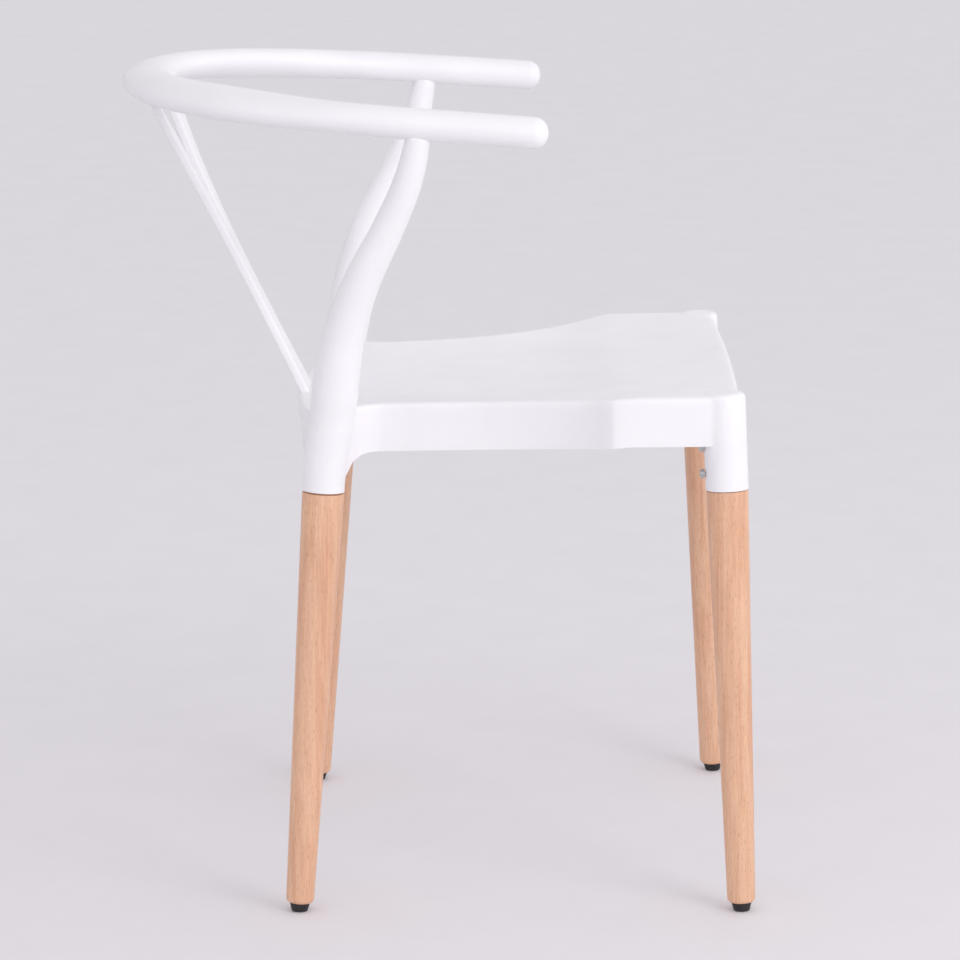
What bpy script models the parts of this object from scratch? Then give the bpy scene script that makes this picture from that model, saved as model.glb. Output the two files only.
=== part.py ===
"""Dining chair with a moulded wishbone back on four turned beech legs.

Axes: +Z up, the sitter faces -Y, X runs across. The origin is on the floor, below the middle
of the chair's bounding box. All lengths are in metres.
"""

import math

import bmesh
import bpy
import numpy as np
from mathutils import Vector

MM = 0.001
GAP = 0.3 * MM  # clearance between two pieces that fit together
MERGE = 0.01 * MM

# Floor plan of the legs
FOOT_X_FRONT = 241 * MM  # heights start at the floor, Y starts midway between the front and rear feet
FOOT_X_REAR = 225 * MM
FOOT_Y_FRONT = -202 * MM
FOOT_Y_REAR = 202 * MM
SPLAY_OUT = math.radians(2.1)  # sideways lean of every leg
LEAN_FRONT = math.radians(-1.75)  # front feet stand ahead of their sockets
LEAN_REAR = math.radians(4.3)  # rear feet stand behind their sockets

# Leg sockets
SOCKET_D = 38.8 * MM
SOCKET_ROUND = 5 * MM  # rounding of a front socket's flat top
SOCKET_TRIM = 12 * MM  # a rear post is drawn this far past its socket's mouth, then cut square to the leg

# Turned legs
LEG_STEP = 0.4 * MM  # the wood stands this far inside the socket's outside
LEG_TOP_D = SOCKET_D - 2 * LEG_STEP
LEG_FOOT_D = 25.6 * MM
LEG_FOOT_ROUND = 4 * MM
SHOULDER_Z = 389 * MM  # joint between beech leg and plastic socket
SPIGOT_GAP = 0.45 * MM  # clearance all round between the spigot and its socket's bore
SOCKET_WALL = 4.45 * MM
SPIGOT_D = SOCKET_D - 2 * (SOCKET_WALL + SPIGOT_GAP)
SPIGOT_LENGTH = 58 * MM
SPIGOT_CHAMFER = 1.5 * MM

# Glides and their nails
GLIDE_TOP_D = 18.5 * MM
GLIDE_FOOT_D = 14.5 * MM
GLIDE_HEIGHT = 8 * MM
GLIDE_ROUND = 0.8 * MM
NAIL_D = 2.5 * MM
NAIL_HEAD_D = 6 * MM
NAIL_HEAD_T = 1.2 * MM
NAIL_RECESS = 2.6 * MM  # how far the head sits up inside the glide
NAIL_LENGTH = 20 * MM

# Leg screws, two to a leg
SCREW_D = 4 * MM
SCREW_LENGTH = 20 * MM
SCREW_HEAD_D = 8 * MM
SCREW_HEAD_T = 2.6 * MM
SCREW_SPACING = 24 * MM
SCREW_FIRST = 15 * MM  # lower screw above the socket's mouth
REAR_SCREW_TURN = math.radians(20)  # keeps the rear legs' screws clear of the rear apron
WASHER_D = 10 * MM
WASHER_T = 0.9 * MM
PAD_D = 11.5 * MM  # flat pad on the round socket, under the washer
PAD_T = 0.6 * MM

# Sides of the turned pieces
LEG_STEPS, GLIDE_STEPS, WASHER_STEPS, SCREW_STEPS, NAIL_STEPS = 22, 18, 14, 10, 8

# Heights of the seat's rim, above the leg joints
RIM_FRONT_Z = SHOULDER_Z + 86.5 * MM
RIM_DROP = 15 * MM  # the rim's rear end is this much lower than its front end
RIM_REAR_Z = RIM_FRONT_Z - RIM_DROP
SOCKET_PROUD = 1.5 * MM  # the flat tops of the front sockets stand this far above the rim
SOCKET_TOP_Z = RIM_FRONT_Z + SOCKET_PROUD

# Seat moulding
WALL = 3.5 * MM
WELD_REACH = 0.01 * MM  # corners of the moulding closer together than this are one corner
APRON_H = 45 * MM
EDGE_ROUND = 5 * MM

# Axes of the legs where they meet the rim, and of the rear legs at the apron's lower edge
FRONT_AXIS_X = FOOT_X_FRONT - RIM_FRONT_Z * math.tan(SPLAY_OUT)
FRONT_AXIS_Y = FOOT_Y_FRONT - RIM_FRONT_Z * math.tan(LEAN_FRONT)
REAR_AXIS_X = FOOT_X_REAR - RIM_REAR_Z * math.tan(SPLAY_OUT)
REAR_AXIS_Y = FOOT_Y_REAR - RIM_REAR_Z * math.tan(LEAN_REAR)
APRON_AXIS_Y = FOOT_Y_REAR - (RIM_REAR_Z - APRON_H) * math.tan(LEAN_REAR)

# Plan of the seat, set out from those axes
SEAT_FRONT_Y = FRONT_AXIS_Y - 17.5 * MM
FRONT_BOW = 4 * MM  # the front edge's middle stands this far ahead of its ends
CHEEK_LENGTH = 122 * MM
SHOULDER_Y = SEAT_FRONT_Y + CHEEK_LENGTH  # where the straight cheeks end and the waist begins
CHEEK_X = FRONT_AXIS_X + 14.9 * MM
CHEEK_TOE = 0.02  # cheeks widen towards the front by this slope
CORNER_START_X = FRONT_AXIS_X - 1.5 * MM
CORNER_DROP = 26.0
WAIST_X = 165 * MM
WAIST_FALL = 70 * MM  # length over which the waist settles
RIM_FALL_Y = SEAT_FRONT_Y + 110 * MM  # the rim is level ahead of this
RIM_FALL = 80 * MM  # and settles over this length behind it
POST_FRONT_Y = APRON_AXIS_Y - SOCKET_D / 2 + 2.1 * MM  # where the side aprons' lower edges meet the rear sockets
FLARE_Y = POST_FRONT_Y - 45.5 * MM  # the side edge turns out to the rear post from here
FLARE_LENGTH = 58.5 * MM
FLARE_OUT = REAR_AXIS_X + 0.9 * MM - WAIST_X
REAR_BOW = 29 * MM  # the rear edge's ends stand this far ahead of its middle
REAR_Y = REAR_AXIS_Y + 7.1 * MM + REAR_BOW  # rear face at the middle
REAR_END_X = REAR_AXIS_X - 3.1 * MM
REAR_DIP = 16 * MM  # the rear edge sags by this much at its middle
DISH_DEPTH = 11 * MM
REAR_DRAFT = 0.09  # the rear apron leans in by this much of its height
APRON_FILLET = 23 * MM  # radius where the side apron's lower edge runs down into the rear socket
CELLS_ACROSS = 12
CHEEK_ROWS, WAIST_ROWS, FLARE_ROWS, REAR_ROWS = 3, 6, 6, 2

# Underside ribs
RIB_T = 2.6 * MM
RIB_H = 20 * MM
RIB_X = (-70 * MM, 70 * MM)
RIB_Y = (SEAT_FRONT_Y + 110 * MM, SEAT_FRONT_Y + 225 * MM)

# Rear posts, in mm from the centre of the rear socket's mouth: height, run outwards, run in Y,
# and how much thicker than the socket the post is there
POST_PATH = (
    (36, -0.7, -4.0, 0.8),
    (73, -1.5, -10.2, 3.6),
    (116, 0.3, -16.0, 2.8),
    (156, 5.3, -25.6, -1.6),
    (191, 11.3, -38.4, -5.4),
    (241, 19.3, -63.4, -9.8),
    (286, 25.8, -82.4, -12.8),
    (323, 28.9, -91.6, -16.2),
)
POST_SIDES = 5  # bevel resolution
POST_TOP_X = FOOT_X_REAR - SHOULDER_Z * math.tan(SPLAY_OUT) + POST_PATH[-1][1] * MM
POST_TOP_Y = FOOT_Y_REAR - SHOULDER_Z * math.tan(LEAN_REAR) + POST_PATH[-1][2] * MM
TENON_D = 13 * MM
TENON_LENGTH = 20 * MM

# Back rail: half of its plan, from the arm end to the middle of the back. Distance from the middle
# as a share of the posts' at their tops, then in mm the distance behind the posts' tops, half width
# and half thickness, and the tilt in degrees
RAIL_PLAN = (
    (1.0234, -101.2, 14.6, 14.2, 0),
    (1.0054, -21.2, 14.6, 14.2, 0),
    (0.9825, 38.3, 15.8, 14.1, 3.6),
    (0.9320, 86.3, 18.2, 13.9, 10.7),
    (0.8456, 131.8, 20.5, 13.8, 17.9),
    (0.7325, 174.6, 21.9, 13.6, 19.1),
    (0.5092, 225.9, 22.4, 13.3, 12.1),
    (0.2588, 248.8, 22.8, 13.1, 6.5),
    (0.0, 255.4, 23.1, 12.9, 3.0),
)
RAIL_ABOVE_POST = 10.2 * MM  # the rail's centre stands this far above the last station of the posts
RAIL_POST_Z = SHOULDER_Z + POST_PATH[-1][0] * MM + RAIL_ABOVE_POST
RAIL_RISE = 0.0812  # rise of the rail towards the back
RAIL_BACK_Y = POST_TOP_Y + RAIL_PLAN[-1][1] * MM
RAIL_UNDERSIDE_Z = RAIL_POST_Z + RAIL_RISE * RAIL_PLAN[-1][1] * MM - RAIL_PLAN[-1][3] * MM  # at the middle of the back
RAIL_STATIONS = 29
RAIL_SIDES = 14
RAIL_DOME = 13 * MM  # length of the rounded arm ends

# Y splat: a bent board trimmed to the outline of a Y
SPLAT_T = 8 * MM
SPLAT_SEAT = 24.5 * MM  # depth of its foot below the rim
SPLAT_ENTRY = 8 * MM  # depth of its arms' tops in the rail
SPLAT_BASE_Z = RIM_REAR_Z - SPLAT_SEAT
SPLAT_TOP_Z = RAIL_UNDERSIDE_Z + SPLAT_ENTRY
SPLAT_Y = REAR_Y - 0.7 * MM  # mid-surface at the rim
SPLAT_LEAN = (RAIL_BACK_Y - 0.9 * MM - SPLAT_Y) / (SPLAT_TOP_Z - RIM_REAR_Z)  # run in Y for each unit of height
SPLAT_BOW_LOW = 0.4  # curvature in plan at the foot, per metre
RAIL_BOW = (RAIL_PLAN[-1][1] - RAIL_PLAN[-3][1]) * MM / (RAIL_PLAN[-3][0] * POST_TOP_X) ** 2
SPLAT_BOW_HIGH = 0.3786 * RAIL_BOW  # under the rail it follows this share of the rail's own curve
STEM_X = 21 * MM  # half width at the waist
STEM_WAIST_Z = RIM_REAR_Z + 79.5 * MM
STEM_FOOT_X = 28 * MM
ARM_TOP_X = 0.44234 * POST_TOP_X  # half width at the rail's underside, where it meets the rail's bend
ARM_SPREAD = ARM_TOP_X - STEM_X  # growth of the half width from the waist to there
ARM_POWER = 2.1
ARM_W = 26.5 * MM
BLOCK_X = 42 * MM  # half width of the socket block that holds the splat's foot
BLOCK_DEPTH = 26 * MM
BLOCK_H = 34 * MM
# its rear face leans with the rear apron and stays inside it, even where the bow brings the apron forward
BLOCK_SETBACK = REAR_BOW * (BLOCK_X / REAR_END_X) ** 2 + REAR_DRAFT * BLOCK_H + 0.3 * MM

RIGHT, LEFT = -1, 1  # sign of X on each side of the sitter
SIDES = (("right", RIGHT), ("left", LEFT))
ENDS = (("front", FOOT_X_FRONT, FOOT_Y_FRONT, LEAN_FRONT), ("rear", FOOT_X_REAR, FOOT_Y_REAR, LEAN_REAR))

for old in list(bpy.data.objects):
    bpy.data.objects.remove(old, do_unlink=True)

chair = bpy.data.collections.new("dining_chair")
cutters = bpy.data.collections.new("cutters")
bpy.context.scene.collection.children.link(chair)
bpy.context.scene.collection.children.link(cutters)


# ---------------------------------------------------------------- helpers


def material(name, colour, roughness, metallic=0.0):
    made = bpy.data.materials.new(name)
    made.use_nodes = True
    shader = made.node_tree.nodes["Principled BSDF"]
    shader.inputs["Base Color"].default_value = (*colour, 1.0)
    shader.inputs["Roughness"].default_value = roughness
    shader.inputs["Metallic"].default_value = metallic
    return made


def new_object(name, mesh, collection=chair, finish=None):
    made = bpy.data.objects.new(name, mesh)
    collection.objects.link(made)
    if finish:
        mesh.materials.append(finish)
    if collection is not chair:
        made.hide_render = True
        made.display_type = "WIRE"
    return made


def mesh_from(bm, name):
    bmesh.ops.recalc_face_normals(bm, faces=bm.faces)
    mesh = bpy.data.meshes.new(name)
    bm.to_mesh(mesh)
    bm.free()
    return mesh


def shade_round(mesh, degrees=35):
    mesh.shade_smooth()
    mesh.set_sharp_from_angle(angle=math.radians(degrees))


def boolean(target, operation, operand):
    step = target.modifiers.new(operation.lower(), "BOOLEAN")
    step.operation = operation
    step.solver = "EXACT"
    if isinstance(operand, bpy.types.Collection):
        step.operand_type = "COLLECTION"
        step.collection = operand
    else:
        step.object = operand
    return step


def cutter_group(name):
    group = bpy.data.collections.new(name)
    cutters.children.link(group)
    return group


def loft(name, rings):
    """A closed solid through rings of equal length, capped at both ends."""
    bm = bmesh.new()
    loops = [[bm.verts.new(p) for p in ring] for ring in rings]
    count = len(rings[0])
    for low, high in zip(loops, loops[1:]):
        for i in range(count):
            j = (i + 1) % count
            bm.faces.new((low[i], low[j], high[j], high[i]))
    bm.faces.new(reversed(loops[0]))
    bm.faces.new(loops[-1])
    return mesh_from(bm, name)


def turned(name, profile, steps, collection=chair, finish=None):
    """A solid turned about Z. The profile runs down its outer side, top to bottom, as (radius, height)."""
    mesh = bpy.data.meshes.new(name)
    points = [(radius, 0.0, height) for radius, height in profile]
    mesh.from_pydata(points, [(i, i + 1) for i in range(len(points) - 1)], [])
    made = new_object(name, mesh, collection, finish)
    screw = made.modifiers.new("turn", "SCREW")
    screw.axis = "Z"
    screw.steps = steps
    screw.render_steps = steps
    screw.use_merge_vertices = True
    screw.merge_threshold = MERGE
    screw.use_smooth_shade = True
    return made


def quarter(centre_r, centre_z, radius, start, stop, count=3):
    """Points on an arc about (centre_r, centre_z), angles in degrees from +R towards +Z."""
    return [
        (centre_r + radius * math.cos(math.radians(a)), centre_z + radius * math.sin(math.radians(a)))
        for a in np.linspace(start, stop, count)
    ]


def aim(made, place, direction, spin_about=None):
    """Puts an object's origin at a place with its +Z along a direction."""
    made.location = place
    made.rotation_mode = "QUATERNION"
    made.rotation_quaternion = Vector(direction).to_track_quat("Z", spin_about or "Y")
    return made


# ---------------------------------------------------------------- leg axes


def leg_direction(side, lean):
    """Unit vector up a leg's axis, from foot to socket."""
    return Vector((-side * math.tan(SPLAY_OUT), -math.tan(lean), 1.0)).normalized()


def leg_point(side, foot_x, foot_y, lean, z):
    """Point of a leg's axis at height z."""
    up = leg_direction(side, lean)
    return Vector((side * foot_x, foot_y, 0.0)) + up * (z / up.z)


def screw_direction(end, side):
    """Outward direction of a leg's screws: rearwards on the front legs, inwards and a little ahead on the rear."""
    if end == "front":
        return Vector((0.0, 1.0, 0.0))
    return Vector((-side * math.cos(REAR_SCREW_TURN), -math.sin(REAR_SCREW_TURN), 0.0))


def screw_places(end, side, foot_x, foot_y, lean):
    """Centre of the washer's seat for each screw of a leg, and the way the screw's head faces."""
    up = leg_direction(side, lean)
    out = screw_direction(end, side)
    out = (out - up * out.dot(up)).normalized()
    mouth = leg_point(side, foot_x, foot_y, lean, SHOULDER_Z)
    seat = SOCKET_D / 2 + PAD_T
    return [(mouth + up * (SCREW_FIRST + i * SCREW_SPACING) + out * seat, out) for i in range(2)]


# ---------------------------------------------------------------- seat surface


def settle(y, start, length):
    """1 ahead of the start, falling towards 0 behind it."""
    return 1.0 if y < start else math.exp(-(y - start) / length)


def half_width(y):
    """Distance of the seat's side edge from the middle."""
    cheek = max(0.0, SHOULDER_Y - y) * CHEEK_TOE
    flare = FLARE_OUT * min(1.0, max(0.0, y - FLARE_Y) / FLARE_LENGTH) ** 2
    return WAIST_X + (CHEEK_X - WAIST_X) * settle(y, SHOULDER_Y, WAIST_FALL) + cheek + flare


def rim_z(y):
    return RIM_REAR_Z + (RIM_FRONT_Z - RIM_REAR_Z) * settle(y, RIM_FALL_Y, RIM_FALL)


def front_y(x):
    corner = CORNER_DROP * max(0.0, abs(x) - CORNER_START_X) ** 2
    return SEAT_FRONT_Y + FRONT_BOW * (x / CHEEK_X) ** 2 + corner


def rear_y(x):
    return REAR_Y - REAR_BOW * (x / REAR_END_X) ** 2


def seat_point(s, t, inset=0.0):
    """Point of the seat's upper surface: s from -1 to 1 across, t from 0 at the front edge to 1 at the rear."""
    side_y = front_y(CHEEK_X) * (1 - t) + rear_y(REAR_END_X) * t
    x = s * (half_width(side_y) - inset)
    y = (front_y(x) + inset) * (1 - t) + (rear_y(x) - inset) * t
    across = 1 - s * s
    sag = REAR_DIP * (1 - abs(s) ** 3) * max(0.0, (t - 0.5) / 0.5) ** 2
    dish = DISH_DEPTH * across**0.8 * max(0.0, math.sin(math.pi * t**0.9)) ** 1.2
    return Vector((x, y, rim_z(side_y) - sag - dish))


def eased(count, ease=0.35):
    """Values from -1 to 1, closer together near both ends."""
    u = np.linspace(0.0, 1.0, count + 1)
    return 2 * ((1 - ease) * u + ease * (1 - np.cos(np.pi * u)) / 2) - 1


def seat_rows():
    """Values of t for the rows of the seat's grid, with one row on the corner between cheek and waist."""
    front, rear = front_y(CHEEK_X), rear_y(REAR_END_X)
    stops = (front, SHOULDER_Y, FLARE_Y, POST_FRONT_Y, rear)
    sides = [front]
    for low, high, count in zip(stops, stops[1:], (CHEEK_ROWS, WAIST_ROWS, FLARE_ROWS, REAR_ROWS)):
        shares = np.linspace(0.0, 1.0, count + 1)[1:]
        closer = np.sin(shares * math.pi / 2) if high == POST_FRONT_Y else shares
        sides += list(low + (high - low) * closer)
    return [(y - front) / (rear - front) for y in sides]


def seat_grid(bm, drop=0.0, inset=0.0):
    """Grid of vertices over the seat's upper surface, as rows from front to rear."""
    rows = []
    for t in seat_rows():
        row = [seat_point(s, t, inset) - Vector((0, 0, drop)) for s in eased(CELLS_ACROSS)]
        rows.append([bm.verts.new(p) for p in row])
    for low, high in zip(rows, rows[1:]):
        for i in range(CELLS_ACROSS):
            bm.faces.new((low[i], low[i + 1], high[i + 1], high[i]))
    return rows


def border(rows):
    """The grid's outer vertices in order round it, anticlockwise from above."""
    right = [row[-1] for row in rows[1:-1]]
    left = [row[0] for row in rows[1:-1]]
    return rows[0] + right + rows[-1][::-1] + left[::-1]


def seat_skin():
    """Open skin of the seat: dished top, rounded edge and the apron all round. Its wall comes from Solidify."""
    bm = bmesh.new()
    ring = border(seat_grid(bm, inset=EDGE_ROUND))
    outer = bmesh.new()
    edge = [v.co.copy() for v in border(seat_grid(outer))]
    outer.free()
    start = [v.co.copy() for v in ring]
    steps = [(1 - math.cos(a), math.sin(a)) for a in np.radians((30, 60, 90))]
    for down, out in steps:
        points = [a.lerp(b, out) - Vector((0, 0, EDGE_ROUND * down)) for a, b in zip(start, edge)]
        ring = skirt(bm, ring, points)
    for share in (0.5, 1.0):
        ring = skirt(bm, ring, [apron_point(p, share) for p in edge])
    mesh = mesh_from(bm, "seat_skin")
    if mesh.polygons[len(mesh.polygons) // 8].normal.z < 0:
        mesh.flip_normals()
    return mesh


def apron_point(edge, share):
    """Point of the apron's outer face under a point of the edge; share is 1 at the apron's lower edge."""
    depth = EDGE_ROUND + (APRON_H - EDGE_ROUND) * share
    into = min(APRON_FILLET, max(0.0, edge.y - POST_FRONT_Y + APRON_FILLET))
    at_side = abs(edge.x) > 0.9 * half_width(edge.y)
    lower = (APRON_FILLET - math.sqrt(APRON_FILLET**2 - into**2)) * share if at_side else 0.0
    rearward = min(1.0, max(0.0, (edge.y - POST_FRONT_Y) / 0.015))
    return edge - Vector((0.0, REAR_DRAFT * depth * rearward, depth + lower))


def skirt(bm, ring, points):
    """One band of faces from a closed ring of vertices to new ones at the points."""
    lower = [bm.verts.new(p) for p in points]
    for i in range(len(ring)):
        j = (i + 1) % len(ring)
        bm.faces.new((ring[i], lower[i], lower[j], ring[j]))
    return lower


# ---------------------------------------------------------------- back rail


def rail_line(count=RAIL_STATIONS):
    """Stations along the rail from the right arm end to the left: centre, tangent, half sizes and tilt."""
    half = np.array(RAIL_PLAN, float) * [POST_TOP_X / MM, 1, 1, 1, 1]
    whole = np.vstack([half * [-1, 1, 1, 1, 1], half[-2::-1]])
    steps = np.hypot(*np.diff(whole[:, :2], axis=0).T)
    along = np.r_[0, np.cumsum(steps)]
    even = np.linspace(0, along[-1], count)
    values = smooth_through(along, whole, even)
    ahead = smooth_through(along, whole, even + 0.5)
    stations = []
    for here, there in zip(values, ahead):
        x, y, wide, thick = here[:4] * MM
        tangent = Vector((there[0] - here[0], there[1] - here[1], 0.0)).normalized()
        centre = Vector((x, POST_TOP_Y + y, RAIL_POST_Z + RAIL_RISE * y))
        stations.append((centre, tangent, wide, thick, math.radians(here[4])))
    return stations


def smooth_through(at, values, where):
    """Cubic curve through the values, with slopes from each point's neighbours."""
    slopes = np.gradient(values, at, axis=0)
    i = np.clip(np.searchsorted(at, where, side="right") - 1, 0, len(at) - 2)
    span = at[i + 1] - at[i]
    u = ((where - at[i]) / span)[:, None]
    span = span[:, None]
    a, b = values[i], values[i + 1]
    da, db = slopes[i] * span, slopes[i + 1] * span
    return a + u * da + u**2 * (3 * (b - a) - 2 * da - db) + u**3 * (2 * (a - b) + da + db)


def rail_ring(centre, tangent, wide, thick, tilt, scale=1.0, grow=0.0):
    """Elliptical section of the rail, tilted so that its outer side is lower."""
    out = Vector((-tangent.y, tangent.x, 0.0))
    up = Vector((0.0, 0.0, 1.0))
    across = out * math.cos(tilt) - up * math.sin(tilt)
    normal = up * math.cos(tilt) + out * math.sin(tilt)
    ring = []
    for i in range(RAIL_SIDES):
        angle = 2 * math.pi * i / RAIL_SIDES
        a = (wide + grow) * scale * math.cos(angle)
        b = (thick + grow) * scale * math.sin(angle)
        ring.append(centre + across * a + normal * b)
    return ring


def rail_mesh(name, grow=0.0):
    stations = rail_line()
    rings = [rail_ring(*station, grow=grow) for station in stations]
    for end, sign in ((0, -1), (-1, 1)):
        centre, tangent, wide, thick, tilt = stations[end]
        dome = []
        for angle in np.radians((25, 50, 70, 84)):
            ahead = tangent * sign * (RAIL_DOME + grow) * math.sin(angle)
            dome.append(rail_ring(centre + ahead, tangent, wide, thick, tilt, math.cos(angle), grow))
        rings = dome[::-1] + rings if end == 0 else rings + dome
    return loft(name, rings)


def back_rail(finish, splat_cutter):
    mesh = rail_mesh("back_rail")
    mesh.materials.append(finish)
    shade_round(mesh)
    rail = new_object("back_rail", mesh)
    mortises = cutter_group("rail_mortises")
    for word, side in SIDES:
        top, direction = post_top(side)
        mortise = turned(f"mortise_{word}", cylinder_profile(TENON_D / 2 + GAP, TENON_LENGTH + GAP), 16, mortises)
        aim(mortise, top, direction)
    boolean(rail, "DIFFERENCE", mortises)
    boolean(rail, "DIFFERENCE", splat_cutter)
    return rail


# ---------------------------------------------------------------- posts and sockets


def cylinder_profile(radius, length, below=0.0):
    """Profile of a plain cylinder from -below to length."""
    return [(0.0, length), (radius, length), (radius, -below), (0.0, -below)]


def post_points(side):
    """Centre and diameter of the rear post at each of its stations, from just below the socket's mouth up."""
    heights = (SHOULDER_Z - SOCKET_TRIM, SHOULDER_Z + SOCKET_TRIM)
    points = [(leg_point(side, FOOT_X_REAR, FOOT_Y_REAR, LEAN_REAR, z), SOCKET_D) for z in heights]
    mouth = leg_point(side, FOOT_X_REAR, FOOT_Y_REAR, LEAN_REAR, SHOULDER_Z)
    for z, x, y, thicker in POST_PATH:
        points.append((mouth + Vector((side * x, y, z)) * MM, SOCKET_D + thicker * MM))
    return points


def post_top(side):
    """Foot and direction of the tenon that stands on the post and enters the rail."""
    last, before = post_points(side)[-1][0], post_points(side)[-2][0]
    direction = (last - before).normalized()
    return last - direction * 0.006, direction


def post(word, side, group):
    """A rear post as a tapered tube; the socket of the rear leg is its lower end."""
    curve = bpy.data.curves.new(f"post_{word}", "CURVE")
    curve.dimensions = "3D"
    curve.bevel_depth = 1.0
    curve.bevel_resolution = POST_SIDES
    curve.use_fill_caps = True
    curve.resolution_u = 3
    curve.render_resolution_u = 3
    spline = curve.splines.new("BEZIER")
    points = post_points(side)
    spline.bezier_points.add(len(points) - 1)
    for knot, (centre, diameter) in zip(spline.bezier_points, points):
        knot.co = centre
        knot.radius = diameter / 2
        knot.handle_left_type = "AUTO"
        knot.handle_right_type = "AUTO"
    drawn = bpy.data.objects.new(f"post_{word}_curve", curve)
    cutters.objects.link(drawn)
    bpy.context.view_layer.update()
    evaluated = drawn.evaluated_get(bpy.context.evaluated_depsgraph_get())
    mesh = bpy.data.meshes.new_from_object(evaluated)
    bm = bmesh.new()
    bm.from_mesh(mesh)
    bmesh.ops.remove_doubles(bm, verts=bm.verts, dist=MERGE)
    bmesh.ops.recalc_face_normals(bm, faces=bm.faces)
    bm.to_mesh(mesh)
    bm.free()
    made = new_object(f"post_{word}", mesh, group)
    made.matrix_world = drawn.matrix_world
    bpy.data.objects.remove(drawn, do_unlink=True)
    mouth = leg_point(side, FOOT_X_REAR, FOOT_Y_REAR, LEAN_REAR, SHOULDER_Z + GAP)
    below = turned(f"below_socket_{word}", cylinder_profile(SOCKET_D, 0.0, 3 * SOCKET_TRIM), 16, cutters)
    boolean(made, "DIFFERENCE", aim(below, mouth, leg_direction(side, LEAN_REAR)))
    return made


def front_socket(word, side, group):
    """Round socket of a front leg, with a flat top that stands a little proud of the seat."""
    mouth = leg_point(side, FOOT_X_FRONT, FOOT_Y_FRONT, LEAN_FRONT, SHOULDER_Z + GAP)
    height = SOCKET_TOP_Z - mouth.z
    radius = SOCKET_D / 2
    top = quarter(radius - SOCKET_ROUND, height - SOCKET_ROUND, SOCKET_ROUND, 90, 0, 4)
    profile = [(0.0, height), *top, (radius, 0.0), (0.0, 0.0)]
    made = turned(f"socket_{word}", profile, LEG_STEPS, group)
    aim(made, mouth, leg_direction(side, LEAN_FRONT))
    return made


def socket_features(adds, cuts):
    """Washer pads on the sockets; bores for the legs and holes for their screws."""
    for end, foot_x, foot_y, lean in ENDS:
        for word, side in SIDES:
            label = f"{end}_{word}"
            up = leg_direction(side, lean)
            mouth = leg_point(side, foot_x, foot_y, lean, SHOULDER_Z)
            bore = turned(
                f"bore_{label}", cylinder_profile(SPIGOT_D / 2 + SPIGOT_GAP, SPIGOT_LENGTH + 2 * GAP, 0.01), LEG_STEPS, cuts
            )
            aim(bore, mouth, up)
            for i, (place, out) in enumerate(screw_places(end, side, foot_x, foot_y, lean)):
                pad = turned(f"pad_{label}_{i}", cylinder_profile(PAD_D / 2, 0.0, PAD_T + 0.004), WASHER_STEPS, adds)
                aim(pad, place, out)
                hole = turned(
                    f"hole_{label}_{i}", cylinder_profile(SCREW_D / 2 + GAP, 0.002, SOCKET_D / 4), SCREW_STEPS, cuts
                )
                aim(hole, place, out)


# ---------------------------------------------------------------- ribs and splat block


def box(name, low, high, group):
    """An upright box between two corners."""
    bm = bmesh.new()
    bmesh.ops.create_cube(bm, size=1.0)
    low, high = Vector(low), Vector(high)
    for v in bm.verts:
        v.co = Vector([(low[i] + high[i]) / 2 + v.co[i] * (high[i] - low[i]) for i in range(3)])
    return new_object(name, mesh_from(bm, name), group)


def seat_block(name, drop, height, group):
    """Solid that fills the space above the seat's surface, lowered by drop."""
    bm = bmesh.new()
    rows = seat_grid(bm, drop=drop, inset=-0.05 if drop < 0 else 0.0)
    ring = border(rows)
    lift = Vector((0, 0, height))
    top = skirt(bm, ring, [v.co + lift for v in ring])
    bm.faces.new(top)
    return new_object(name, mesh_from(bm, name), group)


def ribs(group, above):
    """Stiffening ribs under the seat, trimmed to follow its underside."""
    lift = 0.02
    for i, x in enumerate(RIB_X):
        low_z = RIM_REAR_Z - DISH_DEPTH - RIB_H
        low = (x - RIB_T / 2, SEAT_FRONT_Y + WALL, low_z)
        high = (x + RIB_T / 2, REAR_Y - REAR_BOW / 2 - WALL, RIM_REAR_Z + lift)
        boolean(box(f"rib_along_{i}", low, high, group), "DIFFERENCE", above)
    for i, y in enumerate(RIB_Y):
        low_z = RIM_REAR_Z - DISH_DEPTH - RIB_H
        reach = half_width(y) - WALL
        rib = box(f"rib_across_{i}", (-reach, y - RIB_T / 2, low_z), (reach, y + RIB_T / 2, RIM_REAR_Z + lift), group)
        boolean(rib, "DIFFERENCE", above)


# ---------------------------------------------------------------- Y splat


def splat_y(x, z):
    """Mid-surface of the bent board."""
    share = (z - SPLAT_BASE_Z) / (SPLAT_TOP_Z - SPLAT_BASE_Z)
    bow = SPLAT_BOW_LOW + (SPLAT_BOW_HIGH - SPLAT_BOW_LOW) * share
    return SPLAT_Y + SPLAT_LEAN * (z - RIM_REAR_Z) - bow * x * x


def splat_outer(z):
    """Half width of the Y at height z."""
    if z < STEM_WAIST_Z:
        share = (STEM_WAIST_Z - z) / (STEM_WAIST_Z - SPLAT_BASE_Z)
        return STEM_X + (STEM_FOOT_X - STEM_X) * share**1.6
    share = (z - STEM_WAIST_Z) / (RAIL_UNDERSIDE_Z - STEM_WAIST_Z)
    return STEM_X + ARM_SPREAD * share**ARM_POWER


def splat_inner(z):
    """Half width of the gap between the arms, below 0 where there is none."""
    slope = (splat_outer(z + MM) - splat_outer(z - MM)) / (2 * MM)
    return splat_outer(z) - ARM_W * math.sqrt(1 + slope * slope)


def crotch_z():
    """Height at which the arms part."""
    low, high = STEM_WAIST_Z, RAIL_UNDERSIDE_Z
    for _ in range(40):
        middle = (low + high) / 2
        low, high = (middle, high) if splat_inner(middle) < 0 else (low, middle)
    return high


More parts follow.
